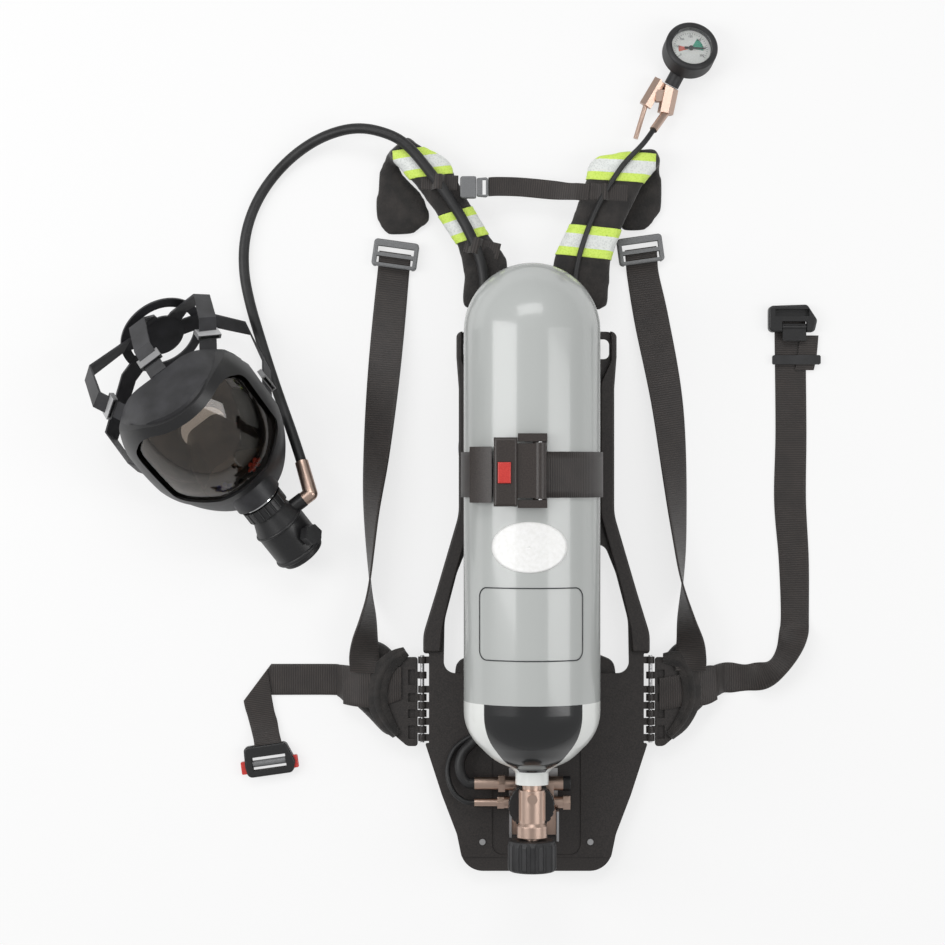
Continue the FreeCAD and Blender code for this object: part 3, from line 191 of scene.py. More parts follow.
def tint(tree, shader, factor, dark, light, low=0.35, high=0.65):
    """Lets a pattern move the colour between two close tones."""
    ramp = add(tree, "ShaderNodeValToRGB", {"Fac": factor})
    ramp.color_ramp.elements[0].position = low
    ramp.color_ramp.elements[0].color = linear(dark)
    ramp.color_ramp.elements[1].position = high
    ramp.color_ramp.elements[1].color = linear(light)
    tree.links.new(ramp.outputs["Color"], shader.inputs["Base Color"])
    return ramp


def dress(node, material):
    """Gives a frame node its material."""
    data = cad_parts[node].data
    data.materials.clear()
    data.materials.append(material)


# %% [markdown]
# ### Painted steel of the tank
# Oven-dried gloss paint over steel: a light grey body, and a shoulder quartered in black and white, the
# mark of breathing air. The quarters are cut by the angle round the tank's axis and stop at a ring. A very
# weak, wide bump is the orange-peel of sprayed paint.

# %% Tank paint
TANK_AXIS_HEIGHT = 0.098
PAINT_LINE = 0.073
NECK_LINE = 0.0005


def tank_paint():
    """Grey gloss paint with a black and white quartered shoulder."""
    material, tree, shader, place = surface("gloss paint on steel", "#b9bcba", 0.22)
    grain(tree, shader, place, 0.004, 0.00005)
    split = add(tree, "ShaderNodeSeparateXYZ", {"Vector": place})
    rise = add(tree, "ShaderNodeMath", {0: split.outputs["Z"], 1: TANK_AXIS_HEIGHT}, operation="SUBTRACT")
    up = add(tree, "ShaderNodeMath", {0: rise.outputs[0]}, operation="ABSOLUTE")
    out = add(tree, "ShaderNodeMath", {0: split.outputs["X"]}, operation="ABSOLUTE")
    black = add(tree, "ShaderNodeMath", {0: up.outputs[0], 1: out.outputs[0]}, operation="GREATER_THAN")
    shoulder = add(tree, "ShaderNodeMath", {0: split.outputs["Y"], 1: PAINT_LINE}, operation="LESS_THAN")
    neck = add(tree, "ShaderNodeMath", {0: split.outputs["Y"], 1: NECK_LINE}, operation="GREATER_THAN")
    dark_part = add(tree, "ShaderNodeMath", {0: black.outputs[0], 1: neck.outputs[0]}, operation="MULTIPLY")
    quarters = add(tree, "ShaderNodeMix", {"Factor": dark_part.outputs[0], "A": linear("#eceeeb"),
                                           "B": linear("#1d1e1f")}, data_type="RGBA")
    body = add(tree, "ShaderNodeMix", {"Factor": shoulder.outputs[0], "A": linear("#b9bcba"),
                                       "B": quarters.outputs["Result"]}, data_type="RGBA")
    tree.links.new(body.outputs["Result"], shader.inputs["Base Color"])
    shader.inputs["Coat Weight"].default_value = 0.4
    shader.inputs["Coat Roughness"].default_value = 0.06
    return material


dress("tank", tank_paint())
print("tank painted")

# %% [markdown]
# ### Moulded plastics and rubbers
# The back plate and the hip wings are injection-moulded nylon with a leathery grain. Buckles and adjusters
# are acetal, smoother and a little glossier. Rubber is duller, with a dusty bloom that shows as a faint
# mottle.


# %% Plastics and rubbers
def moulded(name, dark, light, roughness, grain_size=0.0012, depth=0.00012):
    """Moulded plastic with a leather-like grain and a slight mottle."""
    material, tree, shader, place = surface(name, dark, roughness)
    speckle = grain(tree, shader, place, grain_size, depth, 3.0)
    tint(tree, shader, speckle.outputs["Fac"], dark, light)
    return material


def rubber(name, dark, light, roughness):
    """Moulded rubber: dull, with a soft bloom in patches a few centimetres wide."""
    material, tree, shader, place = surface(name, dark, roughness, ior=1.52)
    grain(tree, shader, place, 0.0008, 0.00004)
    bloom = add(tree, "ShaderNodeTexNoise", {"Vector": place, "Scale": 45.0, "Detail": 3.0})
    tint(tree, shader, bloom.outputs["Fac"], dark, light)
    return material


plate_nylon = moulded("moulded nylon, grained", "#211e1d", "#332e2c", 0.5)
buckle_acetal = moulded("black acetal", "#1a1a1b", "#262627", 0.34, 0.0008, 0.00005)
grey_acetal = moulded("grey acetal", "#6b6c6d", "#7d7e80", 0.38, 0.0008, 0.00005)
lever_nylon = moulded("brown-black glass-filled nylon", "#2a2523", "#3d3633", 0.4)
hose_rubber = rubber("black hose rubber", "#161617", "#252526", 0.5)
soft_rubber = rubber("black moulded rubber", "#1b1b1c", "#2b2b2d", 0.46)
face_rubber = rubber("face piece rubber", "#202022", "#323235", 0.42)
cup_rubber = rubber("dark silicone", "#26241f", "#4a4338", 0.36)
button_red = moulded("red acetal", "#c23430", "#d2453e", 0.3, 0.001, 0.00003)

FINISHES = {
    "back_plate": plate_nylon, "hip_wing_left": plate_nylon, "hip_wing_right": plate_nylon,
    "strap_adjuster_left": grey_acetal, "strap_adjuster_right": grey_acetal,
    "chest_socket": grey_acetal, "chest_plug": grey_acetal,
    "band_anchors": lever_nylon, "band_lever": lever_nylon, "band_lock_button": button_red,
    "buckle_frame": buckle_acetal, "buckle_roller": grey_acetal, "release_button_outer": button_red,
    "release_button_inner": button_red, "buckle_tongue": buckle_acetal, "adjuster_tab": buckle_acetal,
    "belt_keeper": soft_rubber, "relief_valve": buckle_acetal, "air_hose_clipped": hose_rubber,
    "gauge_hose": hose_rubber, "gauge_boot": soft_rubber,
    "gauge_pointer": buckle_acetal, "valve_handwheel": soft_rubber, "reducer_handwheel": buckle_acetal,
    "port_collar": buckle_acetal, "demand_valve": buckle_acetal, "demand_cover": soft_rubber,
    "bypass_knob": buckle_acetal, "mask_seal": face_rubber, "visor_frame": buckle_acetal,
    "inner_mask": cup_rubber, "head_harness": face_rubber,
}
for node, material in FINISHES.items():
    dress(node, material)
print(len(FINISHES), "nodes in plastic and rubber")

# %% [markdown]
# ### Metals
# Valve and reducer are brass with a nickel plating that has a warm, rosy cast. Pins, rivets and the bracket
# are stainless steel, and the mask's port ring is polished chrome. Plated metal shows tiny changes of
# gloss, so noise moves the roughness and not the colour.


# %% Metals
def metal(name, colour, low_gloss, high_gloss, grain_size=0.002):
    """A metal whose roughness wanders between two values."""
    material, tree, shader, place = surface(name, colour, low_gloss, metallic=1.0)
    wander = add(tree, "ShaderNodeTexNoise", {"Vector": place, "Scale": 1 / grain_size, "Detail": 3.0})
    gloss = add(tree, "ShaderNodeMapRange", {"Value": wander.outputs["Fac"], "To Min": low_gloss,
                                             "To Max": high_gloss})
    tree.links.new(gloss.outputs[0], shader.inputs["Roughness"])
    return material


warm_nickel = metal("warm nickel plating on brass", "#cdb3a4", 0.24, 0.4)
stainless = metal("brushed stainless steel", "#c2c2c3", 0.25, 0.42)
chrome = metal("polished chrome plating", "#d9dadb", 0.06, 0.16)
for node in ("tank_valve", "reducer_body", "hose_fittings", "whistle_block"):
    dress(node, warm_nickel)
for node in ("plate_hardware", "lever_pin", "reducer_bracket", "harness_buckles"):
    dress(node, stainless)
dress("mask_port", chrome)
print("metals done")


# %% [markdown]
# ### Clear parts
# The visor is hard-coated polycarbonate and the gauge's lens is the same. Both are thin shells with two
# faces, so glass with full transmission and a low roughness is right, and the light that they bend is
# small. The visor's brown tint is painted shade: it darkens the inside of the mask seen through it.

# %% Clear parts
def clear(name, colour, roughness):
    """A clear plastic shell."""
    material, tree, shader, place = surface(name, colour, roughness, ior=1.58)
    shader.inputs["Transmission Weight"].default_value = 1.0
    return material


# The visor's brown tone is painted shade for the inside of the mask.
dress("visor", clear("polycarbonate visor, brown tint as painted shade", "#b3a597", 0.02))
dress("gauge_lens", clear("clear polycarbonate lens", "#f6f8f8", 0.02))
dress("gauge_dial", moulded("white enamelled dial", "#efeeea", "#f6f5f2", 0.4, 0.002, 0.00001))
print("clear parts done")

# %% [markdown]
# ## Webbing
# Straps are woven polyester: a satin tape with fine cross ribs and a bound edge. Each runs through a few
# stations, as a tape does when it lies, twists and climbs over something. A flat grid is mapped on to that
# path, so its faces stay even, and a UV map in real millimetres keeps the weave straight along the tape
# whatever way it turns.


# %% Webbing weave
def woven(name, dark, light, rib_spacing=0.0024):
    """Woven tape: cross ribs with a slow change of tone along the tape. The real ribs are 1 mm apart and are
    drawn at more than twice that, so that they show."""
    material, tree, shader, _ = surface(name, dark, 0.52)
    uv = add(tree, "ShaderNodeUVMap", uv_map="tape")
    ribs = add(tree, "ShaderNodeTexWave", {"Vector": uv.outputs[0], "Scale": 0.314 / rib_spacing,
                                          "Distortion": 0.6, "Detail": 1.0}, bands_direction="X")
    cloth = add(tree, "ShaderNodeTexNoise", {"Vector": uv.outputs[0], "Scale": 60.0, "Detail": 4.0})
    mixed = add(tree, "ShaderNodeMath", {0: ribs.outputs["Fac"], 1: cloth.outputs["Fac"]}, operation="MULTIPLY")
    tint(tree, shader, mixed.outputs[0], dark, light, 0.1, 0.7)
    bump = add(tree, "ShaderNodeBump", {"Height": ribs.outputs["Fac"], "Strength": 0.5, "Distance": 0.0003})
    tree.links.new(bump.outputs[0], shader.inputs["Normal"])
    shader.inputs["Sheen Weight"].default_value = 0.25
    return material


tape_cloth = woven("dark brown polyester webbing", "#1e1917", "#3a322e")


def new_piece(name, shape, material, body):
    """A mesh object from a bmesh, with its material, riding on a body if one is given."""
    mesh = bpy.data.meshes.new(name)
    shape.to_mesh(mesh)
    shape.free()
    mesh.materials.append(material)
    piece = bpy.data.objects.new(name, mesh)
    scene.collection.objects.link(piece)
    for face in mesh.polygons:
        face.use_smooth = True
    if body:
        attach(piece, body)
    return piece


# %% A tape along its stations
def between(values, at):
    """A smooth value at a fractional index of a list, by Catmull-Rom."""
    last = len(values) - 1
    i = min(int(at), last - 1)
    t = at - i
    a, b = values[max(i - 1, 0)], values[i]
    c, d = values[i + 1], values[min(i + 2, last)]
    return 0.5 * (2 * b + (c - a) * t + (2 * a - 5 * b + 4 * c - d) * t * t + (3 * b - a - 3 * c + d) * t ** 3)


def tape(name, stations, body, thickness=2.0, material=tape_cloth, slot="webbing", rows=8, steps=10, edge=0.5,
         crown=0.0, fold=None):
    """Webbing through stations of x, y, z, width in mm, heading and roll in degrees. A crown makes the middle
    of its width stand up, as over a padded edge, and a fold cuts its end on a slant between two points."""
    columns = list(zip(*stations))
    headings = [columns[4][0]]
    for angle in columns[4][1:]:
        headings.append(headings[-1] + (angle - headings[-1] + 180) % 360 - 180)
    spans = len(stations) - 1
    shape = bmesh.new()
    bmesh.ops.create_grid(shape, x_segments=spans * steps, y_segments=rows, size=0.5)
    layer = shape.loops.layers.uv.new("tape")
    travelled = [0.0]
    for a, b in zip(stations, stations[1:]):
        travelled.append(travelled[-1] + (Vector(b[:3]) - Vector(a[:3])).length)
    for face in shape.faces:
        for loop in face.loops:
            at = (loop.vert.co.x + 0.5) * spans
            loop[layer].uv = (between(travelled, at) * MM, loop.vert.co.y * between(columns[3], at) * MM)
    for vert in shape.verts:
        at = (vert.co.x + 0.5) * spans
        middle = Vector([between(columns[i], at) for i in range(3)])
        turn = (Matrix.Rotation(math.radians(between(headings, at)), 3, "Z")
                @ Matrix.Rotation(math.radians(between(columns[5], at)), 3, "X"))
        rise = crown * (1.0 - (2.0 * vert.co.y) ** 2)
        vert.co = (middle + turn @ Vector((0, vert.co.y * between(columns[3], at), rise))) * MM
    if fold:
        high, low = (Vector((*point, 0.0)) * MM for point in fold)
        along = (low - high).normalized()
        bmesh.ops.bisect_plane(shape, geom=[*shape.verts, *shape.edges, *shape.faces], dist=1e-6, plane_co=high,
                               plane_no=Vector((along.y, -along.x, 0.0)), clear_outer=True)
    piece = new_piece(name, shape, material, body)
    wall = piece.modifiers.new("thickness", "SOLIDIFY")
    wall.thickness = thickness * MM
    wall.offset = 0
    soft = piece.modifiers.new("edges", "BEVEL")
    soft.width = edge * MM
    soft.segments = 2
    return piece


# %% [markdown]
# ### Waist belt and pull straps
# The stations are the places where each tape lies flat, climbs on to a wing, folds at a corner or stands on
# its edge in a twist. The waist belt rides on its wing. The pull straps cross from the pack to a wing and
# are left on no body.

# %% Stations of the belt and straps
BELT_LEFT = [(-136, 84, 22.05, 34, 180, 0), (-160, 80, 22.05, 42, 180, 0), (-184, 80, 17.8, 42, 180, 0),
             (-194, 82, 14.5, 40, 180, 0), (-203, 85, 3.5, 34, 180, 0), (-212, 86, 1.2, 33, 180, 0),
             (-272, 86, 1.2, 33, 180, 0), (-308, 86, 1.2, 33, 180, 0)]
BELT_LEFT_DOWN = [(-296, 106, 3.4, 32, 261, 0), (-288.5, 60, 3.4, 32, 261, 0), (-284.5, 45, 3.4, 32, 261, 0),
                  (-281.5, 32, 5, 31, 260, 0), (-278, 19.5, 9.4, 31, 260, 0), (-277, 12, 9.4, 31, 260, 0)]
BELT_RIGHT = [(136, 72, 22.05, 34, 0, 0), (160, 76, 22.05, 34, 2, 0), (186, 82, 18.4, 33, 4, 0),
              (197, 86, 14.5, 33, 4, 0), (206, 88, 3.5, 32, 0, 0), (215, 88, 1.2, 32, 0, 0),
              (231, 88, 1.4, 28, 3, 0),
              (247, 91, 10, 32, 18, -32), (261, 99, 15, 32, 44, -56), (272, 114, 14, 32, 66, -50),
              (279, 132, 9.5, 32, 80, -28), (282, 152, 1.8, 30, 88, 0), (281, 213, 1.2, 32, 93, 0),
              (277, 277, 1.2, 34, 91, 0), (278, 351, 1.2, 33, 90, 0), (277, 452, 1.2, 33, 90, 0),
              (277, 470, 2.8, 33, 90, 0)]
BELT_TAIL = [(292, 415, 3.4, 20, 90, 0), (295, 430, 3.4, 20, 90, 0), (297, 452, 3.4, 20, 90, 0)]
FOLD_HIGH, FOLD_LOW = (-274.5, 103.5), (-305.5, 62)
STRAP_LEFT = [(-143.0, 539.5, 7.0, 34, 262, 0), (-144.1, 527, 6.6, 34, 262, 0), (-145.9, 511, 1.6, 34, 262, 0),
              (-155.7, 404, 9.5, 37, 266, 24), (-163, 323, 14.2, 37, 265, 43), (-168, 263, 18.2, 37, 266, 64),
              (-169.6, 188, 20.0, 37, 270, 90), (-171, 155, 27.5, 37, 268, 112), (-174, 130, 31.5, 36, 265, 134),
              (-175, 112, 29.2, 34, 265, 154), (-174, 95, 26.8, 32, 265, 176)]
STRAP_RIGHT = [(117.5, 544.5, 7.0, 34, 278, 0), (118.6, 532, 6.6, 34, 278, 0), (120.6, 515, 1.6, 34, 277, 0),
               (129.5, 468, 3.2, 37, 278, -4), (146.5, 373, 9.2, 37, 280, -24), (157, 250, 17.2, 37, 276, -60),
               (160.5, 195, 19.8, 37, 274, -82), (164, 155, 27.5, 37, 272, -112), (168, 130, 31.5, 36, 270, -136),
               (169, 112, 29.2, 34, 270, -156), (169, 97, 26.8, 32, 270, -176)]
CHEST_STRAP = [(61.5, 600.5, 34.2, 18, 174, 0), (49, 601.5, 34.2, 18, 174, 0), (40, 602, 31.5, 18, 174, 0),
               (22, 604, 27, 20, 174, 0), (-10, 607, 27, 20, 175, 0), (-34, 607, 33.2, 20, 180, 0),
               (-44.2, 606, 37.5, 20, 180, 0)]

# %% Lay the tapes
belt_left = [tape("waist_belt_left_run", BELT_LEFT, "wing_left", fold=(FOLD_HIGH, FOLD_LOW)),
             tape("waist_belt_left_drop", BELT_LEFT_DOWN, "wing_left", fold=(FOLD_HIGH, FOLD_LOW))]
for piece in belt_left:
    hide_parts("waist_belt_left")
belt_right = [tape("waist_belt_right_run", BELT_RIGHT, "wing_right"),
              tape("waist_belt_right_tail", BELT_TAIL, "wing_right")]
for piece in belt_right:
    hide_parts("waist_belt_right")
pull_straps = {"left": tape("pull_strap_left_tape", STRAP_LEFT, None),
               "right": tape("pull_strap_right_tape", STRAP_RIGHT, None)}
for side, piece in pull_straps.items():
    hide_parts("pull_strap_" + side)
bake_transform(pull_straps["left"])
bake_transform(pull_straps["right"])
chest = tape("chest_strap_tape", CHEST_STRAP, "pack")
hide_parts("chest_strap")
print("tapes", len(belt_left) + len(belt_right) + len(pull_straps) + 1)

# %% [markdown]
# ## Cushions
# The shoulder straps, the hip wings and the back are padded with foam in a knitted cover. A cushion starts
# as a copy of the plain solid, remeshed to even small faces. Cloth with a little air pressure then rounds
# it, with each point held to a few millimetres so that it stays in its place, and one subdivision smooths
# it.


# %% Cushion cloth
def knitted(name, dark, light):
    """Knitted cover over foam: a fine mesh of dimples, drawn at 2.5 mm so that it shows, and soft wrinkles."""
    material, tree, shader, place = surface(name, dark, 0.8)
    cells = add(tree, "ShaderNodeTexVoronoi", {"Vector": place, "Scale": 400.0})
    wrinkle = add(tree, "ShaderNodeTexNoise", {"Vector": place, "Scale": 70.0, "Detail": 3.0})
    both = add(tree, "ShaderNodeMath", {0: cells.outputs["Distance"], 1: wrinkle.outputs["Fac"]}, operation="ADD")
    bump = add(tree, "ShaderNodeBump", {"Height": both.outputs[0], "Strength": 0.6, "Distance": 0.0006})
    tree.links.new(bump.outputs[0], shader.inputs["Normal"])
    tint(tree, shader, wrinkle.outputs["Fac"], dark, light)
    shader.inputs["Sheen Weight"].default_value = 0.3
    return material


cover_cloth = knitted("black knitted cover", "#1b1918", "#2f2b29")


def loose_parts(mesh):
    """The connected parts of a mesh, as sets of vertex indices."""
    shape = bmesh.new()
    shape.from_mesh(mesh)
    bmesh.ops.remove_doubles(shape, verts=shape.verts, dist=1e-6)
    left = set(shape.verts)
    parts = []
    while left:
        seed = left.pop()
        group = {seed}
        queue = [seed]
        while queue:
            for edge in queue.pop().link_edges:
                for vert in edge.verts:
                    if vert in left:
                        left.discard(vert)
                        group.add(vert)
                        queue.append(vert)
        parts.append(group)
    return shape, parts


def applied(piece):
    """Applies a piece's modifiers to its mesh."""
    graph = bpy.context.evaluated_depsgraph_get()
    mesh = bpy.data.meshes.new_from_object(piece.evaluated_get(graph))
    piece.modifiers.clear()
    piece.data = mesh
    return mesh


def swell(piece, cap, pressure):
    """Blows the piece up with Cloth for 20 frames, with no point moved further than the cap."""
    rest = [vert.co.copy() for vert in piece.data.vertices]
    cloth = piece.modifiers.new("air", "CLOTH")
    cloth.settings.use_pressure = True
    cloth.settings.uniform_pressure_force = pressure
    cloth.settings.effector_weights.gravity = 0.0
    for step in range(1, 21):
        scene.frame_set(step)
    applied(piece)
    for vert, start in zip(piece.data.vertices, rest):
        move = vert.co - start
        if move.length > cap:
            vert.co = start + move * (cap / move.length)
    scene.frame_set(1)


def cushion(name, node, body, part=0, voxel=0.004, smooth=6, cap=0.002, pressure=3.0):
    """A padded piece from one loose part of a node."""
    shape, parts = loose_parts(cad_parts[node].data)
    parts.sort(key=lambda group: min(vert.co.y for vert in group))
    unwanted = [vert for group in parts if group is not parts[part] for vert in group]
    bmesh.ops.delete(shape, geom=unwanted, context="VERTS")
    piece = new_piece(name, shape, cover_cloth, body)
    remesh = piece.modifiers.new("even", "REMESH")
    remesh.mode = "VOXEL"
    remesh.voxel_size = voxel
    applied(piece)
    soften = bmesh.new()
    soften.from_mesh(piece.data)
    for _ in range(smooth):
        bmesh.ops.smooth_vert(soften, verts=soften.verts, factor=0.5, use_axis_x=True, use_axis_y=True,
                              use_axis_z=True)
    for vert in soften.verts:
        ripple = noise.noise(vert.co * 55.0) * 0.0006
        vert.co += vert.normal * ripple
    soften.to_mesh(piece.data)
    soften.free()
    swell(piece, cap, pressure)
    smoother = piece.modifiers.new("smoother", "SUBSURF")
    smoother.levels = 1
    smoother.render_levels = 1
    applied(piece)
    for face in piece.data.polygons:
        face.use_smooth = True
    if not piece.data.materials:
        piece.data.materials.append(cover_cloth)
    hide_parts(node)
    print(name, len(piece.data.polygons), "faces")
    return piece


# %% Fill the cushions
pad_left = cushion("shoulder_cushion_left", "shoulder_pad_left", "pack")
pad_right = cushion("shoulder_cushion_right", "shoulder_pad_right", "pack")
cushion("lumbar_cushion", "back_pads", "pack", part=0, voxel=0.005)
cushion("upper_back_cushion", "back_pads", "pack", part=1, voxel=0.005)
cushion("hip_cushion_left", "hip_pad_left", "wing_left")
cushion("hip_cushion_right", "hip_pad_right", "wing_right")

# %% [markdown]
# ### Reflective bands
# Each shoulder strap has two bands of lime cloth with a silver stripe, sewn round the cushion. A band is
# cut out of a copy of the cushion's own skin by planes, so that it lies on it exactly, and is then lifted
# by the cloth's thickness. Two more cuts part the silver stripe from the lime.


# %% Band cloth
def band_material(name, dark, light, roughness, glow):
    """Coated band cloth with a fine diamond press."""
    material, tree, shader, place = surface(name, dark, roughness)
    weave = add(tree, "ShaderNodeTexVoronoi", {"Vector": place, "Scale": 500.0})
    bump = add(tree, "ShaderNodeBump", {"Height": weave.outputs["Distance"], "Strength": 0.35,
                                        "Distance": 0.0003})
    tree.links.new(bump.outputs[0], shader.inputs["Normal"])
    tint(tree, shader, weave.outputs["Distance"], dark, light, 0.1, 0.6)
    shader.inputs["Sheen Weight"].default_value = glow
    return material


lime_cloth = band_material("lime coated cloth", "#c3e34c", "#d6f06a", 0.55, 0.2)
silver_cloth = band_material("silver glass-bead tape", "#cfd3d0", "#e6e9e6", 0.35, 0.1)


def cut_skin(shape, corner, ahead, keep):
    """Cuts the skin by the upright plane through two corners and keeps the side of a third point."""
    along = Vector((ahead[0] - corner[0], ahead[1] - corner[1], 0))
    normal = Vector((along.y, -along.x, 0)).normalized()
    start = Vector((corner[0], corner[1], 0)) * MM
    if (keep - start).dot(normal) > 0:
        normal.negate()
    bmesh.ops.bisect_plane(shape, geom=[*shape.verts, *shape.edges, *shape.faces], dist=1e-7, plane_co=start,
                           plane_no=normal, clear_outer=True)


def reflective_band(name, pad, start, end, width, lowest=21.5):
    """A band across a pad, along the line from start to end in mm, as wide as width, draped on the pad."""
    start, end = Vector((*start, 0)), Vector((*end, 0))
    along = (end - start).normalized()
    across = Vector((-along.y, along.x, 0)) * width / 2
    shape = bmesh.new()
    shape.from_mesh(pad.data)
    keep = (start + end) / 2 * MM
    corners = [start + across, end + across, end - across, start - across]
    for i, corner in enumerate(corners):
        cut_skin(shape, corner, corners[(i + 1) % 4], keep)
    for side in (1, -1):
        stripe = across * 0.44 * side
        bmesh.ops.bisect_plane(shape, geom=[*shape.verts, *shape.edges, *shape.faces], dist=1e-7,
                               plane_co=(start + stripe) * MM, plane_no=across.normalized())
    low = [vert for vert in shape.verts if vert.co.z < lowest * MM]
    bmesh.ops.delete(shape, geom=low, context="VERTS")
    for vert in shape.verts:
        vert.co += vert.normal * 0.0007
    for face in shape.faces:
        offset = (face.calc_center_median() / MM - start).dot(across.normalized())
        face.material_index = 1 if abs(offset) < abs(width) * 0.22 else 0
    band = new_piece(name, shape, lime_cloth, "pack")
    band.data.materials.append(silver_cloth)
    wall = band.modifiers.new("cloth", "SOLIDIFY")
    wall.thickness = 0.0008
    wall.offset = 0
    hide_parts("reflective_bands")
    print(name, len(band.data.polygons), "faces")
    return band


# %% Sew the bands
reflective_band("band_left_upper", pad_left, (-143, 629), (-84, 636), 31)
reflective_band("band_left_lower", pad_left, (-93, 560), (-44, 574), 33)
reflective_band("band_right_upper", pad_right, (60, 630), (131, 626), 31)
reflective_band("band_right_lower", pad_right, (20, 553), (98, 545), 33)

# %% [markdown]
# ### Loops over the hoses
# Short tapes sewn flat at both ends hold the hoses on the shoulder straps. A loop lies flat, climbs over
# the hose and lies flat again, so it is a tape with a hump.


# %% Loops
def loop_over(name, middle, across_angle, hose_radius, reach_left, reach_right, width):
    """A tape over a hose, at its crossing point in mm, laid along an angle."""
    angle = math.radians(across_angle)
    way = Vector((math.cos(angle), math.sin(angle), 0))
    top = middle[2] + hose_radius + 1.0
    pad_height = 34.4
    stations = []
    climb = pad_height + 1.5
    for reach, height in ((-reach_left, pad_height), (-hose_radius - 5, pad_height), (-hose_radius - 1, climb),
                          (-hose_radius * 0.6, top - 1.5), (0, top), (hose_radius * 0.6, top - 1.5),
                          (hose_radius + 1, climb), (hose_radius + 5, pad_height), (reach_right, pad_height)):
        place = Vector(middle) + way * reach
        stations.append((place.x, place.y, height, width, across_angle, 0))
    piece = tape(name, stations, "pack", thickness=1.6, steps=5)
    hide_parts("hose_loops")
    return piece


loop_over("loop_left_upper", (-97, 611, 40), -2, 5.5, 18, 21, 16)
loop_over("loop_left_lower", (-58, 544, 40), -13, 5.5, 9, 26, 17)
loop_over("loop_right", (78, 601, 37.4), -3, 2.8, 15, 24, 17)
print("loops sewn")

# %% [markdown]
# ## Tank band
# A tape of the same webbing goes round the tank and is drawn tight by the lever buckle. It is a strip spun
# round the tank's axis. A full turn would pass under the buckle, where the real tape is hidden, so it stops
# at the anchors.

# %% Tank band
BAND_MIDDLE = 0.304
BAND_WIDTH = 0.046
BAND_RADIUS = 0.0716


def tank_band():
    """Webbing round the tank, spun from one edge line."""
    shape = bmesh.new()
    layer = shape.loops.layers.uv.new("tape")
    start = Vector((0.0, BAND_MIDDLE - BAND_WIDTH / 2, TANK_AXIS_HEIGHT + BAND_RADIUS))
    edge_points = [shape.verts.new(start + Vector((0, BAND_WIDTH * i / 6, 0))) for i in range(7)]
    edges = [shape.edges.new(pair) for pair in zip(edge_points, edge_points[1:])]
    bmesh.ops.rotate(shape, verts=edge_points, cent=(0, 0, TANK_AXIS_HEIGHT),
                     matrix=Matrix.Rotation(0.01, 3, "Y"))
    bmesh.ops.spin(shape, geom=[*edge_points, *edges], cent=(0, 0, TANK_AXIS_HEIGHT), axis=(0, 1, 0),
                   angle=math.radians(324), steps=96, use_merge=False)
    for face in shape.faces:
        for loop in face.loops:
            offset = loop.vert.co - Vector((0, BAND_MIDDLE, TANK_AXIS_HEIGHT))
            turn = math.atan2(offset.x, -offset.z)
            loop[layer].uv = (turn * BAND_RADIUS, offset.y)
    bmesh.ops.recalc_face_normals(shape, faces=shape.faces)
    band = new_piece("tank_band_tape", shape, tape_cloth, "pack")
    wall = band.modifiers.new("thickness", "SOLIDIFY")
    wall.thickness = 0.0024
    wall.offset = 0
    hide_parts("tank_band")
    return band


tank_band()
print("band round the tank")

# %% [markdown]
# ## Hip wings
# Each hip cushion rolls over the outer edge of its wing in a padded edge, a wide roll with a narrow one on
# it. The belt comes out from under a flap of webbing. The rolls are crowned tapes that follow the edge.

# %% Padded edges and flaps
ROLL_LEFT = [(-131, 117.5, 22.5, 10, 215, 0), (-142, 111, 23.6, 17, 222, 0), (-154.3, 99.5, 24.4, 20, 240, 0),
             (-161, 80, 24.8, 21, 266, 0), (-160.5, 61, 24.6, 20, 280, 0), (-152.5, 43, 23.8, 17, 300, 0),
             (-141, 29, 22.5, 9, 306, 0)]
ROLL_RIGHT = [(140, 110.5, 22.5, 9, 0, 0), (152, 110, 23.6, 15, 350, 0), (163, 103, 24.4, 18, 315, 0),
              (169.5, 86, 24.8, 19, 280, 0), (170, 64, 24.6, 18, 265, 0), (160, 42, 23.8, 15, 240, 0),
              (147, 27.5, 22.5, 9, 230, 0)]
FLAP_LEFT = [(-168, 79.5, 25.5, 42, 181, 0), (-180, 79.8, 24.2, 42, 181, 0), (-190, 80.8, 20, 42, 181, 0),
             (-198, 81.5, 14, 41, 181, 0)]
FLAP_RIGHT = [(172, 80, 25.5, 40, 0, 0), (183, 81, 23.8, 41, 1, 0), (190, 82.5, 21.3, 40, 2, 0),
              (197, 84, 17.8, 36, 3, 0)]


def padded_edge(name, stations, body):
    """Two crowned tapes side by side, one wide and one narrow, as a stitched padded edge."""
    inner = [(x, y, z, width * 0.52, heading, roll) for x, y, z, width, heading, roll in stations]
    padding = {"material": cover_cloth, "slot": "cushion_cloth", "thickness": 1.6}
    return [tape(name, stations, body, crown=3.2, rows=14, **padding),
            tape(name + "_ridge", inner, body, crown=4.4, rows=12, **padding)]


padded_edge("hip_roll_left", ROLL_LEFT, "wing_left")
padded_edge("hip_roll_right", ROLL_RIGHT, "wing_right")
tape("belt_flap_left", FLAP_LEFT, "wing_left", thickness=1.8)
tape("belt_flap_right", FLAP_RIGHT, "wing_right", thickness=1.8)
print("hip wings dressed")

# %% [markdown]
# ## Tank markings
# The tank has an oval sticker, here left plain, and a printed frame with rounded corners, here left empty.
# Both are drawn flat and then bent round the tank. The sticker is a disc spun from a line. The frame is a
# rectangle with rounded corners whose inside is cut away.

# %% Markings
TANK_RADIUS = 0.070
PRINT_LIFT = 0.0006
OVAL_MIDDLE, OVAL_HALF = (-0.0047, 0.2315), (0.0400, 0.0254)
FRAME_MIDDLE, FRAME_HALF = (-0.0032, 0.1543), (0.0590, 0.0369)
FRAME_CORNER = 0.0105
FRAME_LINE = 0.0011


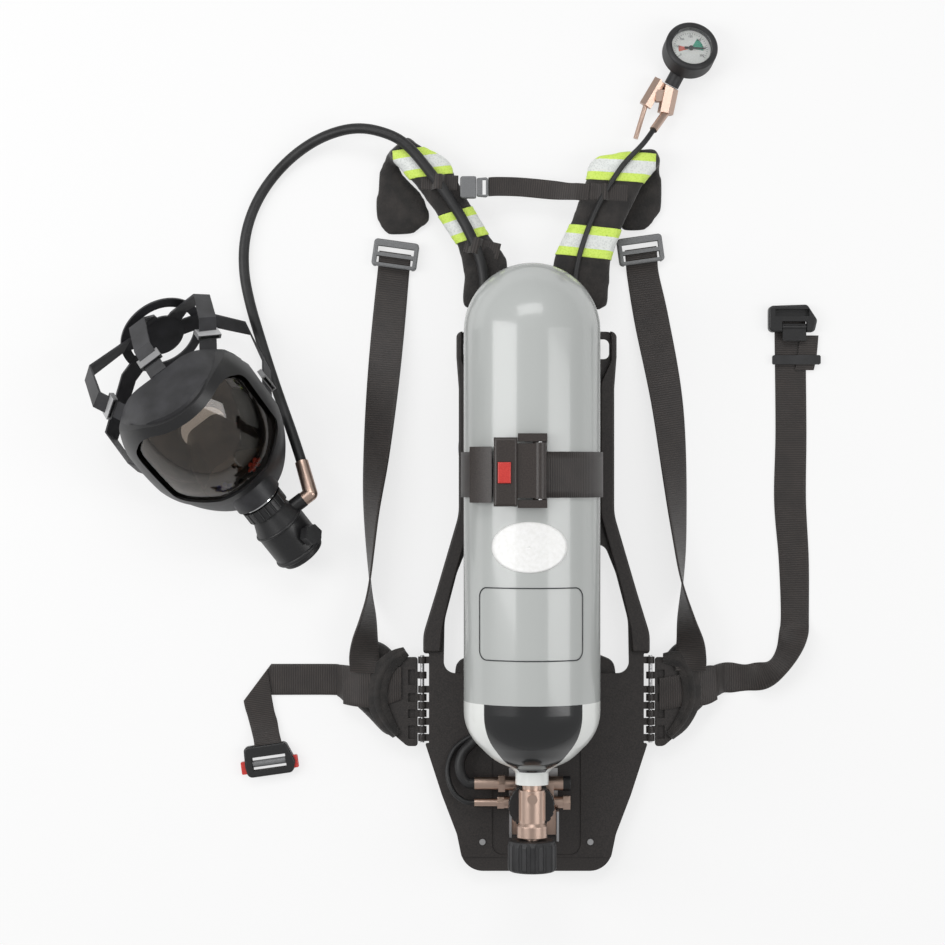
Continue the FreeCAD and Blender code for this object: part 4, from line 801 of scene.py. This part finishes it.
def wrap_on_tank(shape, middle, lift):
    """Bends a flat drawing round the tank: x goes round it from its top line and y along it."""
    radius = TANK_RADIUS + lift
    for vert in shape.verts:
        turn = (vert.co.x + middle[0]) / radius
        vert.co = Vector((radius * math.sin(turn), vert.co.y + middle[1],
                          TANK_AXIS_HEIGHT + radius * math.cos(turn) + vert.co.z))
    bmesh.ops.recalc_face_normals(shape, faces=shape.faces)


def spun_disc(shape, inner, outer, rings, start=0.0, angle=math.tau, steps=96):
    """Adds a flat ring or disc, or a sector of one, spun from a line along X."""
    points = [shape.verts.new((inner + (outer - inner) * i / rings, 0, 0)) for i in range(rings + 1)]
    edges = [shape.edges.new(pair) for pair in zip(points, points[1:])]
    bmesh.ops.rotate(shape, verts=points, cent=(0, 0, 0), matrix=Matrix.Rotation(start, 3, "Z"))
    whole = abs(angle - math.tau) < 1e-6
    bmesh.ops.spin(shape, geom=[*points, *edges], cent=(0, 0, 0), axis=(0, 0, 1), angle=angle, steps=steps,
                   use_merge=whole)


def oval_sticker():
    """Plain white vinyl oval."""
    shape = bmesh.new()
    spun_disc(shape, 0.0004, 1.0, 14)
    bmesh.ops.scale(shape, verts=shape.verts, vec=(*OVAL_HALF, 1.0))
    wrap_on_tank(shape, OVAL_MIDDLE, PRINT_LIFT)
    piece = new_piece("oval_sticker", shape, sticker_vinyl, "pack")
    wall = piece.modifiers.new("vinyl", "SOLIDIFY")
    wall.thickness = 0.0002
    wall.offset = 0
    return piece


def printed_frame():
    """Empty frame with rounded corners, printed in dark ink."""
    shape = bmesh.new()
    bmesh.ops.create_grid(shape, x_segments=1, y_segments=1, size=1.0)
    bmesh.ops.scale(shape, verts=shape.verts, vec=(*FRAME_HALF, 1.0))
    bmesh.ops.bevel(shape, geom=shape.verts[:], offset=FRAME_CORNER, segments=8, profile=0.5,
                    affect="VERTICES", material=-1)
    long_sides = [edge for edge in shape.edges if edge.calc_length() > 0.02]
    bmesh.ops.subdivide_edges(shape, edges=long_sides, cuts=24)
    bmesh.ops.inset_region(shape, faces=shape.faces[:], thickness=FRAME_LINE, use_even_offset=True,
                           use_boundary=True)
    inside = max(shape.faces, key=lambda face: len(face.verts))
    bmesh.ops.delete(shape, geom=[inside], context="FACES")
    wrap_on_tank(shape, FRAME_MIDDLE, PRINT_LIFT)
    piece = new_piece("printed_frame", shape, dark_ink, "pack")
    wall = piece.modifiers.new("ink", "SOLIDIFY")
    wall.thickness = 0.0002
    wall.offset = 0
    return piece


sticker_vinyl = moulded("white vinyl", "#f3f3f1", "#fbfbfa", 0.3, 0.004, 0.00002)
dark_ink = moulded("dark screen ink", "#26292b", "#34383a", 0.35, 0.002, 0.00001)
oval_sticker()
printed_frame()
print("tank marked")

# %% [markdown]
# ## Gauge dial
# The dial has plain ticks and numbers, a red sector for the reserve and a green one for a full tank. They
# are thin sheets just above the dial and under the pointer, all turned with the gauge's tilt.

# %% Dial
GAUGE_TILT = math.radians(20)
GAUGE_NORMAL = Vector((0.4 * math.sin(GAUGE_TILT), 0.917 * math.sin(GAUGE_TILT), math.cos(GAUGE_TILT)))
GAUGE_PLACE = (Matrix.Translation(Vector((168.4, 751.4, 23)) * MM)
               @ Vector((0, 0, 1)).rotation_difference(GAUGE_NORMAL).to_matrix().to_4x4())
DIAL_HEIGHT = 0.00445
PRINT_THICKNESS = 0.00008
SCALE_START = 215
SCALE_SWEEP = 250
TICKS = 31
TICK_RADIUS = 0.0182
LONG_TICK, SHORT_TICK, TICK_WIDTH = 0.0028, 0.0014, 0.0004
SECTOR_INNER, SECTOR_OUTER = 0.0030, 0.0135


def on_dial(name, shape, material, height=DIAL_HEIGHT):
    """A flat drawing laid on the dial."""
    bmesh.ops.transform(shape, matrix=GAUGE_PLACE @ Matrix.Translation((0, 0, height)), verts=shape.verts)
    piece = new_piece(name, shape, material, "gauge")
    sheet = piece.modifiers.new("print", "SOLIDIFY")
    sheet.thickness = PRINT_THICKNESS
    sheet.offset = 0
    return piece


def dial_sector(name, start, sweep, material):
    """A coloured sector from near the middle of the dial."""
    shape = bmesh.new()
    spun_disc(shape, SECTOR_INNER, SECTOR_OUTER, 3, math.radians(start), math.radians(sweep), 24)
    return on_dial(name, shape, material)


def dial_ticks():
    """Thirty-one ticks along the scale, every fifth one longer."""
    shape = bmesh.new()
    for i in range(TICKS):
        length = LONG_TICK if i % 5 == 0 else SHORT_TICK
        made = bmesh.ops.create_grid(shape, x_segments=1, y_segments=1, size=0.5)
        turn = math.radians(SCALE_START - SCALE_SWEEP * i / (TICKS - 1))
        bmesh.ops.scale(shape, verts=made["verts"], vec=(length, TICK_WIDTH, 1.0))
        bmesh.ops.translate(shape, verts=made["verts"], vec=(TICK_RADIUS - length / 2, 0, 0))
        bmesh.ops.rotate(shape, verts=made["verts"], cent=(0, 0, 0), matrix=Matrix.Rotation(turn, 3, "Z"))
    return on_dial("dial_ticks", shape, dark_ink)


def dial_number(text, angle, radius=0.0139, size=0.0034):
    """A plain number beside its tick, turned into a mesh."""
    words = bpy.data.curves.new("number_" + text, "FONT")
    words.body = text
    words.size = size
    words.align_x = "CENTER"
    words.align_y = "CENTER"
    holder = bpy.data.objects.new("holder", words)
    scene.collection.objects.link(holder)
    mesh = bpy.data.meshes.new_from_object(holder.evaluated_get(bpy.context.evaluated_depsgraph_get()))
    bpy.data.objects.remove(holder)
    shape = bmesh.new()
    shape.from_mesh(mesh)
    turn = math.radians(angle)
    bmesh.ops.translate(shape, verts=shape.verts, vec=(radius * math.cos(turn), radius * math.sin(turn), 0.0))
    return on_dial("dial_number_" + text, shape, dark_ink, DIAL_HEIGHT + 0.0001)


dial_red = moulded("red dial print", "#e0604d", "#ea7361", 0.45, 0.002, 0.00001)
dial_green = moulded("green dial print", "#2fa98a", "#43b899", 0.45, 0.002, 0.00001)
dial_sector("dial_sector_red", 168, 30, dial_red)
dial_sector("dial_sector_green", -8, 66, dial_green)
dial_ticks()
DIAL_NUMBERS = ("0", "50", "100", "150", "200", "250", "300")
for i, number in enumerate(DIAL_NUMBERS):
    dial_number(number, SCALE_START - SCALE_SWEEP * i / (len(DIAL_NUMBERS) - 1))
print("dial drawn")

# %% [markdown]
# ## Mask details
# Behind the visor the two check valves of the inner cup show as small flowers, one red and one blue, so
# each is a button with six petals. Rubber beads go round the demand valve, and its cover has two raised
# rings. A soft lip inside the face piece darkens the view through the visor. All of it is placed in the
# mask's own tilted frame.

# %% Mask frame
MASK = Matrix(((-0.80, 0.446, -0.401, -0.338),
               (-0.60, -0.594, 0.535, 0.352),
               (0, 0.669, 0.743, 0.078),
               (0, 0, 0, 1)))
PORT_SEAT = Vector((0, 0.044, -0.062))
PORT_AXIS = Vector((0, 0.45, -0.893)).normalized()
blue_rubber = rubber("blue silicone", "#26347f", "#3a4ba6", 0.35)
red_rubber = rubber("red silicone", "#cf4630", "#e2604a", 0.35)


def check_valve(name, side, material):
    """A valve flower: a button with six petals, set on the cup."""
    shape = bmesh.new()
    made = bmesh.ops.create_uvsphere(shape, u_segments=16, v_segments=10, radius=0.0026)
    bmesh.ops.scale(shape, verts=made["verts"], vec=(1, 1, 0.6))
    for i in range(6):
        made = bmesh.ops.create_uvsphere(shape, u_segments=16, v_segments=10, radius=0.0034)
        bmesh.ops.scale(shape, verts=made["verts"], vec=(1.0, 0.72, 0.45))
        bmesh.ops.translate(shape, verts=made["verts"], vec=(0.0062, 0, 0))
        bmesh.ops.rotate(shape, verts=made["verts"], cent=(0, 0, 0),
                         matrix=Matrix.Rotation(math.tau * i / 6, 3, "Z"))
    outwards = Vector((0.30 * side, 0.93, -0.21)).normalized()
    facing = outwards.to_track_quat("Z", "Y").to_matrix().to_4x4()
    place = Matrix.Translation(Vector((0.019 * side, 0.0525, -0.033))) @ facing
    bmesh.ops.transform(shape, matrix=MASK @ place, verts=shape.verts)
    piece = new_piece(name, shape, material, "mask")
    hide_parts("check_valves")
    return piece


def port_ring(name, distance, radius, width, height, material, body):
    """A round bead about the port's axis, spun from a small profile."""
    shape = bmesh.new()
    ring = bmesh.ops.create_circle(shape, segments=14, radius=1.0)
    bmesh.ops.scale(shape, verts=ring["verts"], vec=(height, width, 1))
    bmesh.ops.rotate(shape, verts=ring["verts"], cent=(0, 0, 0), matrix=Matrix.Rotation(math.pi / 2, 3, "X"))
    bmesh.ops.translate(shape, verts=ring["verts"], vec=(radius, 0, 0))
    bmesh.ops.spin(shape, geom=[*shape.verts, *shape.edges], cent=(0, 0, 0), axis=(0, 0, 1), angle=math.tau,
                   steps=64, use_merge=True)
    facing = PORT_AXIS.to_track_quat("Z", "Y").to_matrix().to_4x4()
    place = Matrix.Translation(PORT_SEAT + PORT_AXIS * distance) @ facing
    bmesh.ops.transform(shape, matrix=MASK @ place, verts=shape.verts)
    bmesh.ops.recalc_face_normals(shape, faces=shape.faces)
    return new_piece(name, shape, material, body)


check_valve("check_valve_red", -1, red_rubber)
check_valve("check_valve_blue", 1, blue_rubber)
port_ring("demand_bead_rear", 0.053, 0.0272, 0.0016, 0.0011, buckle_acetal, "pack")
port_ring("demand_bead_front", 0.089, 0.0270, 0.0024, 0.0014, soft_rubber, "pack")
port_ring("cover_ring", 0.0980, 0.0150, 0.0012, 0.0016, soft_rubber, "demand_cover")
port_ring("cover_ring_inner", 0.0980, 0.0080, 0.0010, 0.0012, soft_rubber, "demand_cover")


def face_lip():
    """The soft lip inside the face piece that lies round the face: a dished ring, wider than high."""
    shape = bmesh.new()
    spun_disc(shape, 0.36, 1.0, 8, steps=72)
    for vert in shape.verts:
        reach = math.hypot(vert.co.x, vert.co.y)
        vert.co.z = 0.010 * math.sin(math.pi * (1.0 - reach) / 0.64)
    bmesh.ops.scale(shape, verts=shape.verts, vec=(0.0685, 0.0770, 1.0))
    place = Matrix.Translation((0, -0.002, -0.001)) @ Matrix.Rotation(-math.pi / 2, 4, "X")
    bmesh.ops.transform(shape, matrix=MASK @ place, verts=shape.verts)
    lip = new_piece("face_lip", shape, face_rubber, "mask")
    wall = lip.modifiers.new("rubber", "SOLIDIFY")
    wall.thickness = 0.0015
    return lip


face_lip()
print("mask details")

# %% [markdown]
# ## Supply hose
# The loose stretch of hose leaves the left shoulder strap, drops to the floor, runs along it in one wide
# curve and rises to the demand valve. Its route is a smooth curve with a control point every few
# centimetres.

# %% Free hose
FREE_ROUTE = [(-114, 632, 40), (-126.1, 647.4, 40), (-146, 661, 39.6), (-180, 670, 33.5), (-215, 663.5, 22),
              (-247, 646, 12.5), (-274, 620, 7.2), (-293, 590, 5.8), (-303.5, 556, 5.8), (-304.5, 520, 5.8),
              (-297.5, 485, 5.8), (-287, 450, 5.8), (-276, 415, 6.6), (-263, 378, 11.5), (-250, 344, 21.5),
              (-241, 318, 32)]
HOSE_DIAMETER = 0.011


def free_hose():
    """The loose hose as a smooth curve with a round bevel."""
    curve = bpy.data.curves.new("supply_hose", "CURVE")
    curve.dimensions = "3D"
    curve.bevel_depth = HOSE_DIAMETER / 2
    curve.bevel_resolution = 6
    curve.resolution_u = 8
    line = curve.splines.new("NURBS")
    line.points.add(len(FREE_ROUTE) - 1)
    for point, place in zip(line.points, FREE_ROUTE):
        point.co = (*(Vector(place) * MM), 1.0)
    line.order_u = 3
    line.use_endpoint_u = True
    piece = bpy.data.objects.new("supply_hose", curve)
    scene.collection.objects.link(piece)
    curve.materials.append(hose_rubber)
    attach(piece, "pack")
    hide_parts("air_hose_free")
    return piece


free_hose()
print("free hose laid")
